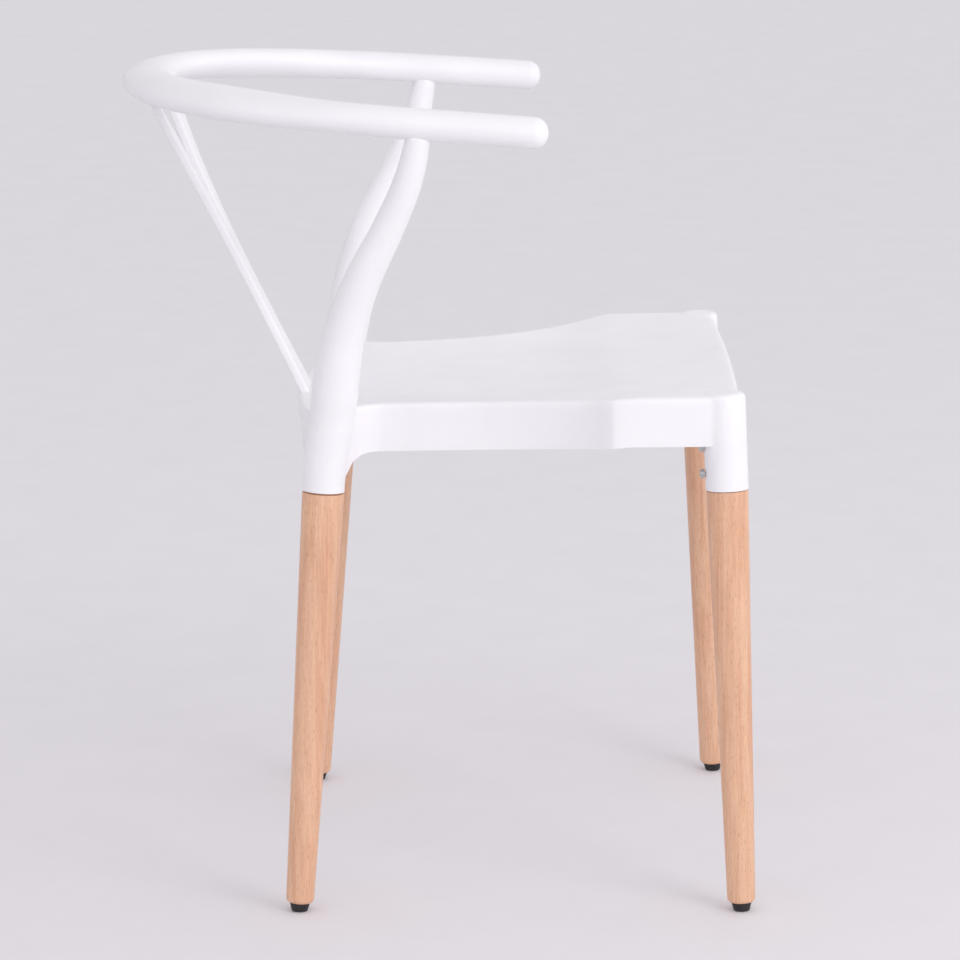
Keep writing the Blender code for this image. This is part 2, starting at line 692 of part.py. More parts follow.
def splat_outline(grow):
    """Outline of the Y in front view, as (x, z) down its left side and up the right."""
    bottom, top = SPLAT_BASE_Z - grow, SPLAT_TOP_Z + grow
    outer = [(splat_outer(z) + grow, z) for z in np.linspace(top, bottom, 15)]
    start = crotch_z() + 2 * MM
    inner = [(max(0.0, splat_inner(z) - grow), z) for z in start + (top - start) * np.linspace(1, 0, 9) ** 1.5]
    half = inner[::-1] + outer
    half[0] = (0.0, half[0][1])
    return half + [(-x, z) for x, z in half[::-1][:-1]]


def y_splat(name, grow=0.0, collection=chair, finish=None):
    """Bent board cut to the outline of a Y. grow enlarges it all round, for the pockets that hold it."""
    bm = bmesh.new()
    reach = ARM_SPREAD + STEM_X + 0.02
    bottom, top = SPLAT_BASE_Z - 0.02, SPLAT_TOP_Z + 0.02
    bmesh.ops.create_grid(bm, x_segments=10, y_segments=6, size=1.0)
    for v in bm.verts:
        x, z = v.co.x * reach, bottom + (top - bottom) * (v.co.y + 1) / 2
        v.co = (x, splat_y(x, z), z)
    board = new_object(name, mesh_from(bm, name), collection, finish)
    wall = board.modifiers.new("board", "SOLIDIFY")
    wall.thickness = SPLAT_T + 2 * grow
    wall.offset = 0.0
    wall.use_even_offset = True
    outline = bpy.data.curves.new(f"{name}_outline", "CURVE")
    outline.dimensions = "2D"
    outline.fill_mode = "BOTH"
    outline.extrude = 0.3
    points = splat_outline(grow)
    spline = outline.splines.new("POLY")
    spline.points.add(len(points) - 1)
    for knot, (x, z) in zip(spline.points, points):
        knot.co = (x, z, 0.0, 1.0)
    spline.use_cyclic_u = True
    drawn = bpy.data.objects.new(f"{name}_outline", outline)
    drawn.rotation_euler = (math.pi / 2, 0.0, 0.0)
    drawn.location = (0.0, 0.25, 0.0)
    cutters.objects.link(drawn)
    bpy.context.view_layer.update()
    evaluated = drawn.evaluated_get(bpy.context.evaluated_depsgraph_get())
    mesh = bpy.data.meshes.new_from_object(evaluated)
    bm = bmesh.new()
    bm.from_mesh(mesh)
    bmesh.ops.remove_doubles(bm, verts=bm.verts, dist=MERGE)
    bmesh.ops.recalc_face_normals(bm, faces=bm.faces)
    bm.to_mesh(mesh)
    bm.free()
    trim = new_object(f"{name}_trim", mesh, cutters)
    trim.matrix_world = drawn.matrix_world
    bpy.data.objects.remove(drawn, do_unlink=True)
    boolean(board, "INTERSECT", trim)
    return board


# ---------------------------------------------------------------- seat frame


def seat_frame(finish, splat_cutter):
    """The white moulding: seat, aprons, leg sockets and rear posts in one piece."""
    mesh = seat_skin()
    mesh.materials.append(finish)
    frame = new_object("seat_frame", mesh)
    wall = frame.modifiers.new("wall", "SOLIDIFY")
    wall.thickness = WALL
    wall.offset = -1.0
    wall.use_even_offset = False
    adds = cutter_group("seat_frame_adds")
    bores = cutter_group("seat_frame_bores")
    tenons = cutter_group("seat_frame_tenons")
    above = seat_block("above_seat", 1.6 * MM, 0.08, cutters)
    ribs(adds, above)
    block_low = rim_z(REAR_Y) - REAR_DIP - BLOCK_H
    low, high = (-BLOCK_X, REAR_Y - BLOCK_DEPTH, block_low), (BLOCK_X, REAR_Y - BLOCK_SETBACK, RIM_REAR_Z)
    block = box("splat_block", low, high, adds)
    for v in block.data.vertices:
        if v.co.y > low[1] + BLOCK_DEPTH / 2 and v.co.z > block_low + BLOCK_H / 2:
            v.co.y += REAR_DRAFT * BLOCK_H
    boolean(block, "DIFFERENCE", above)
    for word, side in SIDES:
        front_socket(word, side, adds)
        post(word, side, adds)
        top, direction = post_top(side)
        tenon = turned(f"tenon_{word}", cylinder_profile(TENON_D / 2, TENON_LENGTH, 0.012), 16, tenons)
        aim(tenon, top, direction)
    socket_features(adds, bores)
    boolean(frame, "UNION", adds)
    rail_space = new_object("rail_space", rail_mesh("rail_space", GAP), cutters)
    boolean(frame, "DIFFERENCE", rail_space)
    boolean(frame, "UNION", tenons)
    boolean(frame, "DIFFERENCE", bores)
    boolean(frame, "DIFFERENCE", splat_cutter)
    weld = frame.modifiers.new("weld", "WELD")
    weld.merge_threshold = WELD_REACH
    return frame


# ---------------------------------------------------------------- legs and small parts


def leg(label, end, side, foot_x, foot_y, lean, finish):
    """A turned leg: spigot, shoulder, straight taper and rounded foot, with pilot holes for screws and nail."""
    up = leg_direction(side, lean)
    foot = leg_point(side, foot_x, foot_y, lean, GLIDE_HEIGHT)
    length = (SHOULDER_Z - GLIDE_HEIGHT) / up.z
    foot_r = LEG_FOOT_D / 2
    spigot_r = SPIGOT_D / 2
    rounding = quarter(foot_r - LEG_FOOT_ROUND, LEG_FOOT_ROUND, LEG_FOOT_ROUND, 0, -90, 4)
    profile = [
        (0.0, length + SPIGOT_LENGTH),
        (spigot_r - SPIGOT_CHAMFER, length + SPIGOT_LENGTH),
        (spigot_r, length + SPIGOT_LENGTH - SPIGOT_CHAMFER),
        (spigot_r, length),
        (LEG_TOP_D / 2, length),
        *rounding,
        (0.0, 0.0),
    ]
    made = turned(f"leg_{label}", profile, LEG_STEPS, chair, finish)
    aim(made, foot, up)
    holes = cutter_group(f"leg_{label}_holes")
    for i, (place, out) in enumerate(screw_places(end, side, foot_x, foot_y, lean)):
        depth = WASHER_T + GAP - SCREW_LENGTH - 2 * GAP
        hole = turned(f"pilot_{label}_{i}", cylinder_profile(SCREW_D / 2 + GAP, 0.0, -depth), SCREW_STEPS, holes)
        aim(hole, place, out)
    nail_depth = NAIL_LENGTH - GLIDE_HEIGHT + NAIL_RECESS + 2 * GAP
    nail_hole = turned(f"nail_hole_{label}", cylinder_profile(NAIL_D / 2 + GAP, nail_depth, 0.002), NAIL_STEPS, holes)
    aim(nail_hole, foot, up)
    boolean(made, "DIFFERENCE", holes)
    return made


def glide(label, side, foot_x, foot_y, lean, finish):
    """Nylon glide nailed under a leg. It is in line with the leg, and its sole is trimmed level with the floor."""
    up = leg_direction(side, lean)
    sole = Vector((side * foot_x, foot_y, 0.0))
    height = GLIDE_HEIGHT / up.z - GAP
    top_r, foot_r = GLIDE_TOP_D / 2, GLIDE_FOOT_D / 2
    head_r, nail_r = NAIL_HEAD_D / 2 + GAP, NAIL_D / 2 + GAP
    shelf = NAIL_RECESS + GAP
    below = 1.5 * MM
    profile = [
        (nail_r, height),
        (top_r - GLIDE_ROUND, height),
        (top_r, height - GLIDE_ROUND),
        (foot_r, 1.2 * MM),
        (foot_r - 0.4 * MM, -below),
        (head_r, -below),
        (head_r, shelf),
        (nail_r, shelf),
        (nail_r, height),
    ]
    made = turned(f"glide_{label}", profile, GLIDE_STEPS, chair, finish)
    aim(made, sole, up)
    floor = box(f"floor_{label}", sole - Vector((0.02, 0.02, 0.01)), sole + Vector((0.02, 0.02, 0.0)), cutters)
    boolean(made, "DIFFERENCE", floor)
    return made


def nail(label, side, foot_x, foot_y, lean, finish):
    """Steel nail of a glide, its head sunk inside it."""
    up = leg_direction(side, lean)
    sole = Vector((side * foot_x, foot_y, 0.0))
    base = NAIL_RECESS - NAIL_HEAD_T
    profile = [
        (0.0, base + NAIL_LENGTH),
        (NAIL_D / 2, base + NAIL_LENGTH - NAIL_D),
        (NAIL_D / 2, base + NAIL_HEAD_T),
        (NAIL_HEAD_D / 2, base + NAIL_HEAD_T),
        (NAIL_HEAD_D / 2, base + 0.3 * MM),
        (NAIL_HEAD_D / 2 - 0.3 * MM, base),
        (0.0, base),
    ]
    made = turned(f"glide_nail_{label}", profile, NAIL_STEPS, chair, finish)
    return aim(made, sole, up)


def leg_screw(label, place, out, finish):
    """Pan-head screw through a socket's wall into the leg's spigot."""
    under = WASHER_T + 2 * GAP
    head_r, shank_r = SCREW_HEAD_D / 2, SCREW_D / 2
    tip = under - SCREW_LENGTH
    profile = [
        (0.0, under + SCREW_HEAD_T),
        (head_r * 0.55, under + SCREW_HEAD_T * 0.93),
        (head_r * 0.88, under + SCREW_HEAD_T * 0.62),
        (head_r, under + SCREW_HEAD_T * 0.2),
        (head_r, under),
        (shank_r, under),
        (shank_r, tip + SCREW_D),
        (0.0, tip),
    ]
    made = turned(f"leg_screw_{label}", profile, SCREW_STEPS, chair, finish)
    aim(made, place, out)
    recess = leg_screw_recess(label, place, out, under + SCREW_HEAD_T)
    boolean(made, "DIFFERENCE", recess)
    return made


def leg_screw_recess(label, place, out, top):
    """Cross-shaped driver recess: two crossed slots."""
    bm = bmesh.new()
    long, thin, deep = 2.1 * MM, 0.5 * MM, 1.3 * MM
    outline = [(long, thin), (thin, thin), (thin, long)]
    corners = outline + [(-y, x) for x, y in outline] + [(-x, -y) for x, y in outline] + [(y, -x) for x, y in outline]
    low = [bm.verts.new((x, y, top - deep)) for x, y in corners]
    high = [bm.verts.new((x, y, top + deep)) for x, y in corners]
    bm.faces.new(low)
    bm.faces.new(high)
    for i in range(len(low)):
        j = (i + 1) % len(low)
        bm.faces.new((low[i], low[j], high[j], high[i]))
    made = new_object(f"recess_{label}", mesh_from(bm, f"recess_{label}"), cutters)
    return aim(made, place, out)


def washer(label, place, out, finish):
    """Flat washer between a screw's head and the pad on the socket."""
    inner = SCREW_D / 2 + GAP
    profile = [
        (inner, WASHER_T + GAP),
        (WASHER_D / 2 - 0.2 * MM, WASHER_T + GAP),
        (WASHER_D / 2, WASHER_T + GAP - 0.2 * MM),
        (WASHER_D / 2, GAP),
        (inner, GAP),
        (inner, WASHER_T + GAP),
    ]
    made = turned(f"washer_{label}", profile, WASHER_STEPS, chair, finish)
    return aim(made, place, out)


def main():
    white = material("polypropylene_white", (0.86, 0.86, 0.88), 0.42)
    beech = material("beech_clear_lacquer", (0.72, 0.45, 0.27), 0.45)
    nylon = material("nylon_black", (0.015, 0.015, 0.015), 0.5)
    steel = material("steel_zinc_plated", (0.62, 0.62, 0.62), 0.3, 1.0)
    y_splat("y_splat", finish=white)
    pocket = y_splat("splat_pocket", GAP, cutters)
    seat_frame(white, pocket)
    back_rail(white, pocket)
    for end, foot_x, foot_y, lean in ENDS:
        for word, side in SIDES:
            label = f"{end}_{word}"
            leg(label, end, side, foot_x, foot_y, lean, beech)
            glide(label, side, foot_x, foot_y, lean, nylon)
            nail(label, side, foot_x, foot_y, lean, steel)
            places = screw_places(end, side, foot_x, foot_y, lean)
            for height, (place, out) in zip(("lower", "upper"), places):
                washer(f"{label}_{height}", place, out, steel)
                leg_screw(f"{label}_{height}", place, out, steel)


def centre_on_origin():
    """Moves everything so that the origin is midway between the front feet and the back of the rail."""
    rail_back = RAIL_BACK_Y + RAIL_PLAN[-1][2] * MM
    foot_front = FOOT_Y_FRONT - LEG_FOOT_D / 2
    for made in bpy.data.objects:
        made.location.y -= (rail_back + foot_front) / 2


main()
centre_on_origin()
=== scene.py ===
import math

import bpy
from mathutils import Matrix, Vector


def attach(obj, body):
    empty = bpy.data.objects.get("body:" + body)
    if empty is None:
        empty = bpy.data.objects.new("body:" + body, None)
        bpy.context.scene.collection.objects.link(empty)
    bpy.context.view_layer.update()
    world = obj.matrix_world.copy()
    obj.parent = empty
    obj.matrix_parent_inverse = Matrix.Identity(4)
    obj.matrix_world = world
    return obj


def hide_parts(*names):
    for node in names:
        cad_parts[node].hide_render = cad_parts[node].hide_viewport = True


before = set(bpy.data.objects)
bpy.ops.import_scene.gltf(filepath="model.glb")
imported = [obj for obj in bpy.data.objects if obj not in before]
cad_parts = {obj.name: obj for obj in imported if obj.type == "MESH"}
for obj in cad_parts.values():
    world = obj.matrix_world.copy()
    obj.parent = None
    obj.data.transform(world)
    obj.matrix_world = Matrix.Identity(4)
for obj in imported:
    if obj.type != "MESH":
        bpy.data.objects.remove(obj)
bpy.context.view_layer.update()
mm = 0.001


# Small helpers

def deselectAll():
    if bpy.context.object and bpy.context.object.mode != "OBJECT":
        bpy.ops.object.mode_set(mode="OBJECT")
    bpy.ops.object.select_all(action="DESELECT")


def pick(*pieces):
    deselectAll()
    for piece in pieces:
        piece.select_set(True)
    bpy.context.view_layer.objects.active = pieces[0]


def keepPlace(piece):
    # the place goes into the mesh, so the object sits at the origin
    pick(piece)
    bpy.ops.object.transform_apply(location=True, rotation=True, scale=True)
    return piece


def finishModifiers(piece):
    pick(piece)
    for modifier in list(piece.modifiers):
        bpy.ops.object.modifier_apply(modifier=modifier.name)
    return piece


def discard(*pieces):
    for piece in pieces:
        bpy.data.objects.remove(piece, do_unlink=True)


def smoothShade(piece, degrees=35):
    pick(piece)
    bpy.ops.object.shade_smooth_by_angle(angle=math.radians(degrees))
    return piece


def closeUp(piece, distance=0.01 * mm):
    # merges the seam and poles and turns every face outwards
    pick(piece)
    bpy.ops.object.mode_set(mode="EDIT")
    bpy.ops.mesh.select_all(action="SELECT")
    bpy.ops.mesh.remove_doubles(threshold=distance)
    bpy.ops.mesh.normals_make_consistent(inside=False)
    bpy.ops.object.mode_set(mode="OBJECT")
    return piece


def shapedGrid(name, columns, rows, place):
    # a flat grid whose points are moved by place(s, t): s runs -1 to 1 across, t runs 0 to 1 along
    deselectAll()
    bpy.ops.mesh.primitive_grid_add(x_subdivisions=columns, y_subdivisions=rows, size=2)
    sheet = bpy.context.object
    sheet.name = name
    plan = sheet.data.attributes.new("plan", "FLOAT_VECTOR", "POINT")
    for vertex, spot in zip(sheet.data.vertices, plan.data):
        spot.vector = (vertex.co.x, (vertex.co.y + 1) / 2, 0)
    for vertex in sheet.data.vertices:
        vertex.co = place(vertex.co.x, (vertex.co.y + 1) / 2)
    return sheet


def thicken(sheet, place):
    # extrudes the whole sheet into a slab whose other face is given by place(s, t)
    pick(sheet)
    bpy.ops.object.mode_set(mode="EDIT")
    bpy.ops.mesh.select_all(action="SELECT")
    bpy.ops.mesh.extrude_region_move(TRANSFORM_OT_translate={"value": (0, 0, -0.001)})
    bpy.ops.object.mode_set(mode="OBJECT")
    plan = sheet.data.attributes["plan"].data
    for vertex in sheet.data.vertices:
        if vertex.select:
            s, t, unused = plan[vertex.index].vector
            vertex.co = place(s, t)
    return closeUp(sheet)


def cut(piece, cutter, operation="DIFFERENCE", solver="EXACT"):
    modifier = piece.modifiers.new("cut", "BOOLEAN")
    modifier.operation = operation
    modifier.solver = solver
    modifier.object = cutter
    return finishModifiers(piece)


def copyOf(piece, name):
    twin = piece.copy()
    twin.data = piece.data.copy()
    twin.name = name
    bpy.context.collection.objects.link(twin)
    return twin


# Legs: where their axes stand

legs = {
    "jointHeight": 389 * mm,       # beech meets the plastic socket here
    "splay": math.radians(2.1),
    "front": {"footX": 241 * mm, "footY": -274.45 * mm, "lean": math.radians(-1.75)},
    "rear": {"footX": 225 * mm, "footY": 129.55 * mm, "lean": math.radians(4.3)},
    "topRadius": 19.0 * mm,
    "footRadius": 12.8 * mm,
    "footRound": 4 * mm,
    "topRound": 0.6 * mm,          # the eased edge that reads as a dark line under the socket
    "glideHeight": 8 * mm,
    "spigotRadius": 14.5 * mm,
    "spigotLength": 58 * mm,
    "sides": 72,
}
sideNames = {"right": -1, "left": 1}


def legUp(end, side):
    return Vector((-side * math.tan(legs["splay"]), -math.tan(legs[end]["lean"]), 1)).normalized()


def legPoint(end, side, height):
    up = legUp(end, side)
    return Vector((side * legs[end]["footX"], legs[end]["footY"], 0)) + up * (height / up.z)


def turnTo(direction):
    return direction.to_track_quat("Z", "Y").to_euler()


def standOn(point, direction):
    return Matrix.Translation(point) @ direction.to_track_quat("Z", "Y").to_matrix().to_4x4()


# Camera

view = {
    "from": (-3.9165, -0.0481, 1.1483),
    "pitch": math.radians(11.46),
    "heading": math.radians(0.11),
    "roll": math.radians(-0.77),
    "lens": 157.5,
    "sensor": 36,
    "reach": 60,
}


def makeCamera():
    pitch, heading, roll = view["pitch"], view["heading"], view["roll"]
    ahead = Vector((math.cos(pitch) * math.cos(heading), math.cos(pitch) * math.sin(heading), -math.sin(pitch)))
    across = ahead.cross(Vector((0, 0, 1))).normalized()
    up = across.cross(ahead)
    turnedAcross = across * math.cos(roll) + up * math.sin(roll)
    turnedUp = up * math.cos(roll) - across * math.sin(roll)
    lens = bpy.data.cameras.new("studioCamera")
    lens.sensor_width = view["sensor"]
    lens.lens = view["lens"]
    lens.clip_end = view["reach"]
    camera = bpy.data.objects.new("studioCamera", lens)
    bpy.context.scene.collection.objects.link(camera)
    turn = Matrix((turnedAcross, turnedUp, -ahead)).transposed().to_4x4()
    camera.matrix_world = Matrix.Translation(view["from"]) @ turn
    bpy.context.scene.camera = camera


makeCamera()
print("camera placed")


# Materials

def linear(code):
    # sRGB hex to the linear colour that the shader wants
    channels = [int(code[i:i + 2], 16) / 255 for i in (0, 2, 4)]
    return tuple(c / 12.92 if c <= 0.04045 else ((c + 0.055) / 1.055) ** 2.4 for c in channels) + (1,)


def setInputs(tree, node, inputs):
    for socket, value in inputs.items():
        if isinstance(value, bpy.types.NodeSocket):
            tree.links.new(value, node.inputs[socket])
        else:
            node.inputs[socket].default_value = value


def addNode(tree, kind, inputs=None, **settings):
    node = tree.nodes.new(kind)
    for name, value in settings.items():
        setattr(node, name, value)
    setInputs(tree, node, inputs or {})
    return node


def startMaterial(name):
    made = bpy.data.materials.new(name)
    made.use_nodes = True
    tree = made.node_tree
    place = addNode(tree, "ShaderNodeTexCoord").outputs["Object"]
    return made, tree, tree.nodes["Principled BSDF"], place


def noise(tree, place, size, detail, roughness=0.5, distortion=0.0):
    return addNode(tree, "ShaderNodeTexNoise", {
        "Vector": place, "Scale": 1 / size, "Detail": detail, "Roughness": roughness, "Distortion": distortion,
    }).outputs["Fac"]


def stretched(tree, place, across, along):
    # a place in cells that are this size across the grain and this long along it
    scale = (1 / across, 1 / across, 1 / along)
    return addNode(tree, "ShaderNodeMapping", {"Vector": place, "Scale": scale}).outputs["Vector"]


def tones(tree, value, *stops):
    ramp = addNode(tree, "ShaderNodeValToRGB", {"Fac": value})
    elements = ramp.color_ramp.elements
    while len(elements) < len(stops):
        elements.new(0.5)
    for element, (position, colour) in zip(elements, stops):
        element.position = position
        element.color = colour
    return ramp.outputs["Color"]


def mapped(tree, value, low, high, fromLow=0.3, fromHigh=0.7):
    limits = {"From Min": fromLow, "From Max": fromHigh, "To Min": low, "To Max": high}
    return addNode(tree, "ShaderNodeMapRange", {"Value": value, **limits}).outputs["Result"]


def mixed(tree, share, under, over, blend="MIX"):
    return addNode(tree, "ShaderNodeMix", {0: share, 6: under, 7: over}, data_type="RGBA", blend_type=blend).outputs[2]


def bumped(tree, height, strength, depth, under=None):
    inputs = {"Height": height, "Strength": strength, "Distance": depth}
    if under:
        inputs["Normal"] = under
    return addNode(tree, "ShaderNodeBump", inputs).outputs["Normal"]


def grey(value):
    return (value, value, value, 1)


def whitePolypropylene():
    # Injection-moulded polypropylene from a finely eroded mould: cool white, satin, a little light
    # goes in at thin edges. Flow clouds 60 mm across tint it, and gloss clouds 25 mm across polish it.
    made, tree, shader, place = startMaterial("mouldedPolypropyleneWhite")
    flow = noise(tree, place, 60 * mm, 3.0)
    clouds = noise(tree, place, 25 * mm, 4.0, 0.6)
    # eroded texture: the real grain is about 0.1 mm, drawn at 0.8 mm so that it shows at all
    grain = noise(tree, place, 0.8 * mm, 2.0, 0.6)
    # sink and pull of the moulding, about 45 mm across and a few hundredths of a millimetre deep
    sink = noise(tree, place, 45 * mm, 1.0, 0.4)
    sunk = bumped(tree, sink, 0.4, 0.15 * mm)
    setInputs(tree, shader, {
        "Base Color": tones(tree, flow, (0.3, linear("EFEEF1")), (0.7, linear("F3F2F5"))),
        "Roughness": mapped(tree, clouds, 0.36, 0.47),
        "Normal": bumped(tree, grain, 0.22, 0.05 * mm, sunk),
        "IOR": 1.49,
        "Subsurface Weight": 0.12,
        "Subsurface Radius": (1.0, 0.95, 1.05),
        "Subsurface Scale": 2 * mm,
    })
    return made


def lacqueredBeech(name, offset):
    # Steamed beech turned on a lathe under clear satin lacquer: pinkish tan, straight faint growth
    # bands, short brown ray flecks all over and a soft sheen along the leg.
    made, tree, shader, place = startMaterial(name)
    shift = addNode(tree, "ShaderNodeMapping", {"Vector": place, "Location": offset}).outputs["Vector"]
    # growth bands, 8 mm across the grain and 150 mm along it
    warp = noise(tree, stretched(tree, shift, 8 * mm, 150 * mm), 1, 3.0, 0.55, 0.7)
    bands = tones(tree, warp, (0.30, linear("D9A383")), (0.46, linear("E1B08E")),
                  (0.58, linear("E6B998")), (0.72, linear("DFAB8A")))
    # fibres, 1.1 mm across and 34 mm long
    fibres = noise(tree, stretched(tree, shift, 1.1 * mm, 34 * mm), 1, 4.0, 0.65)
    fibreTone = tones(tree, fibres, (0.32, grey(0.86)), (0.62, grey(1.04)))
    withFibres = mixed(tree, 0.8, bands, fibreTone, "MULTIPLY")
    # ray flecks, 1 mm across and 5.5 mm long
    flecks = noise(tree, stretched(tree, shift, 1.0 * mm, 5.5 * mm), 1, 1.0, 0.4)
    fleckMask = tones(tree, flecks, (0.60, grey(0.0)), (0.70, grey(0.42)))
    setInputs(tree, shader, {
        "Base Color": mixed(tree, fleckMask, withFibres, linear("B98360")),
        "Roughness": mapped(tree, fibres, 0.40, 0.54),
        "Normal": bumped(tree, fibres, 0.25, 0.08 * mm),
        "Coat Weight": 0.3,
        "Coat Roughness": 0.32,
    })
    return made


def blackNylon():
    # Moulded nylon 6: black, low sheen, with scuffs 1.5 mm across, greyer in the lowest 2 mm where it
    # rubs on the floor.
    made, tree, shader, place = startMaterial("mouldedNylonBlack")
    height = addNode(tree, "ShaderNodeSeparateXYZ", {"Vector": place}).outputs["Z"]
    scuffs = noise(tree, place, 1.5 * mm, 4.0, 0.7)
    nearFloor = mapped(tree, height, 0.75, 0.0, 0.2 * mm, 2.2 * mm)
    worn = addNode(tree, "ShaderNodeMath", {0: nearFloor, 1: scuffs}, operation="MULTIPLY").outputs["Value"]
    setInputs(tree, shader, {
        "Base Color": mixed(tree, worn, linear("19191C"), linear("5B5A5C")),
        "Roughness": mapped(tree, scuffs, 0.42, 0.6),
        "Normal": bumped(tree, scuffs, 0.3, 0.05 * mm),
        "IOR": 1.53,
    })
    return made


def zincPlatedSteel():
    # Steel with bright zinc plate: cool grey metal, passivation clouds 3 mm across and fine
    # barrel-tumbling marks 0.7 mm across.
    made, tree, shader, place = startMaterial("zincPlatedSteel")
    clouds = noise(tree, place, 3 * mm, 3.0, 0.6)
    marks = noise(tree, place, 0.7 * mm, 3.0, 0.7)
    setInputs(tree, shader, {
        "Base Color": tones(tree, clouds, (0.3, linear("AEB1B8")), (0.55, linear("C6C8CB")), (0.75, linear("CBC6B8"))),
        "Roughness": mapped(tree, marks, 0.24, 0.42),
        "Normal": bumped(tree, marks, 0.2, 0.03 * mm),
        "Metallic": 1.0,
    })
    return made


def paperFloor():
    # Plain studio floor: pale cool grey paper with hardly any sheen, very faintly clouded at 90 mm.
    made, tree, shader, place = startMaterial("studioFloorPaper")
    clouds = noise(tree, place, 90 * mm, 2.0)
    setInputs(tree, shader, {
        "Base Color": tones(tree, clouds, (0.3, linear("E8E6E9")), (0.7, linear("EAE8EB"))),
        "Roughness": 0.75,
    })
    return made


polypropylene = whitePolypropylene()
nylon = blackNylon()
zinc = zincPlatedSteel()
print("materials made")


def dress(piece, name, finish, slotName, *nodes):
    piece.name = name
    piece.data.name = name
    piece.data.materials.clear()
    piece.data.materials.append(finish)
    for polygon in piece.data.polygons:
        polygon.material_index = 0
    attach(piece, "root")
    if nodes:
        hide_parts(*nodes)


# Seat, aprons, sockets and posts: one moulding

seat = {
    "wall": 3.5 * mm,
    "apron": 45 * mm,
    "spare": 8 * mm,               # drawn this much deeper, then trimmed to a crisp lower edge
    "edgeRound": 5 * mm,
    "frontY": -277.4 * mm,
    "frontBow": 4 * mm,
    "cheekX": 238.5 * mm,
    "cheekEndY": -160.4 * mm,
    "cheekToe": 0.02,
    "cornerX": 222.1 * mm,
    "cornerCurve": 26.0,
    "waistX": 165 * mm,
    "ease": 0.22,
    "waistFall": 70 * mm,
    "rimFront": 475.5 * mm,
    "rimRear": 460.5 * mm,
    "rimFallY": -172.4 * mm,
    "rimFall": 80 * mm,
    "flareY": 35.5 * mm,
    "flareOut": 44.0 * mm,
    "flareLength": 58.5 * mm,
    "rearY": 131.0 * mm,
    "rearEndX": 205 * mm,
    "rearBow": 29 * mm,
    "rearDip": 16 * mm,
    "dish": 11 * mm,
    "rearDraft": 0.09,
    "postFrontY": 81.0 * mm,
    "apronFillet": 23 * mm,
    "voxel": 2.3 * mm,
    "fillet": 8 * mm,
    "ribX": (-70 * mm, 70 * mm),
    "ribY": (-167.4 * mm, -52.4 * mm),
    "ribThick": 2.6 * mm,
    "ribLow": 429.5 * mm,
    "block": ((-42 * mm, 105.0 * mm, 410.5 * mm), (42 * mm, 125.5 * mm, 460.5 * mm)),
    "hollowFloor": 0.36,
    "trimFloor": 0.34,
    "keep": 0.25 * mm,             # what stands in the hollow is kept with this much to spare
}
# where the fillet at a post's foot is made: beyond these, and this near the rim and the post's skin
postFoot = {
    "fromX": 140 * mm,
    "fromY": 20 * mm,
    "below": 14 * mm,
    "above": 22 * mm,
    "inside": 2.5 * mm,
    "rimSkin": 1 * mm,
}
sockets = {
    "radius": 19.4 * mm,
    "topHeight": 477 * mm,
    "topRound": 5 * mm,
    "spare": 10 * mm,
    "padRadius": 5.75 * mm,
    "padProud": 0.6 * mm,
}
# rear post: height above the socket's mouth, run outwards, run in Y, diameter, all in mm
postStations = (
    (36, -0.7, -4.0, 39.6),
    (73, -1.5, -10.2, 42.4),
    (116, 0.3, -16.0, 41.6),
    (156, 5.3, -25.6, 37.2),
    (191, 11.3, -38.4, 33.4),
    (241, 19.3, -63.4, 29.0),
    (286, 25.8, -82.4, 26.0),
    (323, 28.9, -91.6, 22.6),
)


def settle(y, start, length):
    # eases away from 1 without a kink, then dies off over the given length
    along = max(0.0, (y - start) / length)
    return math.exp(-along * along / (along + seat["ease"])) if along else 1.0


def halfWidth(y):
    cheek = max(0.0, seat["cheekEndY"] - y) * seat["cheekToe"]
    flare = seat["flareOut"] * min(1.0, max(0.0, y - seat["flareY"]) / seat["flareLength"]) ** 2
    waist = (seat["cheekX"] - seat["waistX"]) * settle(y, seat["cheekEndY"], seat["waistFall"])
    return seat["waistX"] + waist + cheek + flare


def rimHeight(y):
    return seat["rimRear"] + (seat["rimFront"] - seat["rimRear"]) * settle(y, seat["rimFallY"], seat["rimFall"])


def frontEdge(x):
    corner = seat["cornerCurve"] * max(0.0, abs(x) - seat["cornerX"]) ** 2
    return seat["frontY"] + seat["frontBow"] * (x / seat["cheekX"]) ** 2 + corner


def rearEdge(x):
    return seat["rearY"] - seat["rearBow"] * (x / seat["rearEndX"]) ** 2


def sideY(t):
    return frontEdge(seat["cheekX"]) * (1 - t) + rearEdge(seat["rearEndX"]) * t


def sag(s, t):
    return seat["rearDip"] * (1 - abs(s) ** 3) * max(0.0, (t - 0.5) / 0.5) ** 2


def seatPlan(s, t, inset=0.0):
    x = s * (halfWidth(sideY(t)) - inset)
    return x, (frontEdge(x) + inset) * (1 - t) + (rearEdge(x) - inset) * t


def seatTop(s, t, inset=0.0, lower=0.0):
    x, y = seatPlan(s, t, inset)
    dish = seat["dish"] * max(0.0, 1 - s * s) ** 0.8 * max(0.0, math.sin(math.pi * t ** 0.9)) ** 1.2
    return Vector((x, y, rimHeight(sideY(t)) - sag(s, t) - dish - lower))


def apronBottom(s, t):
    # height of the apron's lower edge; beside the rear posts it runs down into the sockets on a radius
    into = min(seat["apronFillet"], max(0.0, seatPlan(s, t)[1] - seat["postFrontY"] + seat["apronFillet"]))
    run = (seat["apronFillet"] - math.sqrt(seat["apronFillet"] ** 2 - into ** 2)) if abs(s) > 0.9 else 0.0
    return rimHeight(sideY(t)) - sag(s, t) - seat["apron"] - run


def drafted(x, y, z, top):
    rearward = min(1.0, max(0.0, (y - seat["postFrontY"]) / (15 * mm)))
    return Vector((x, y - seat["rearDraft"] * (top - z) * rearward, z))


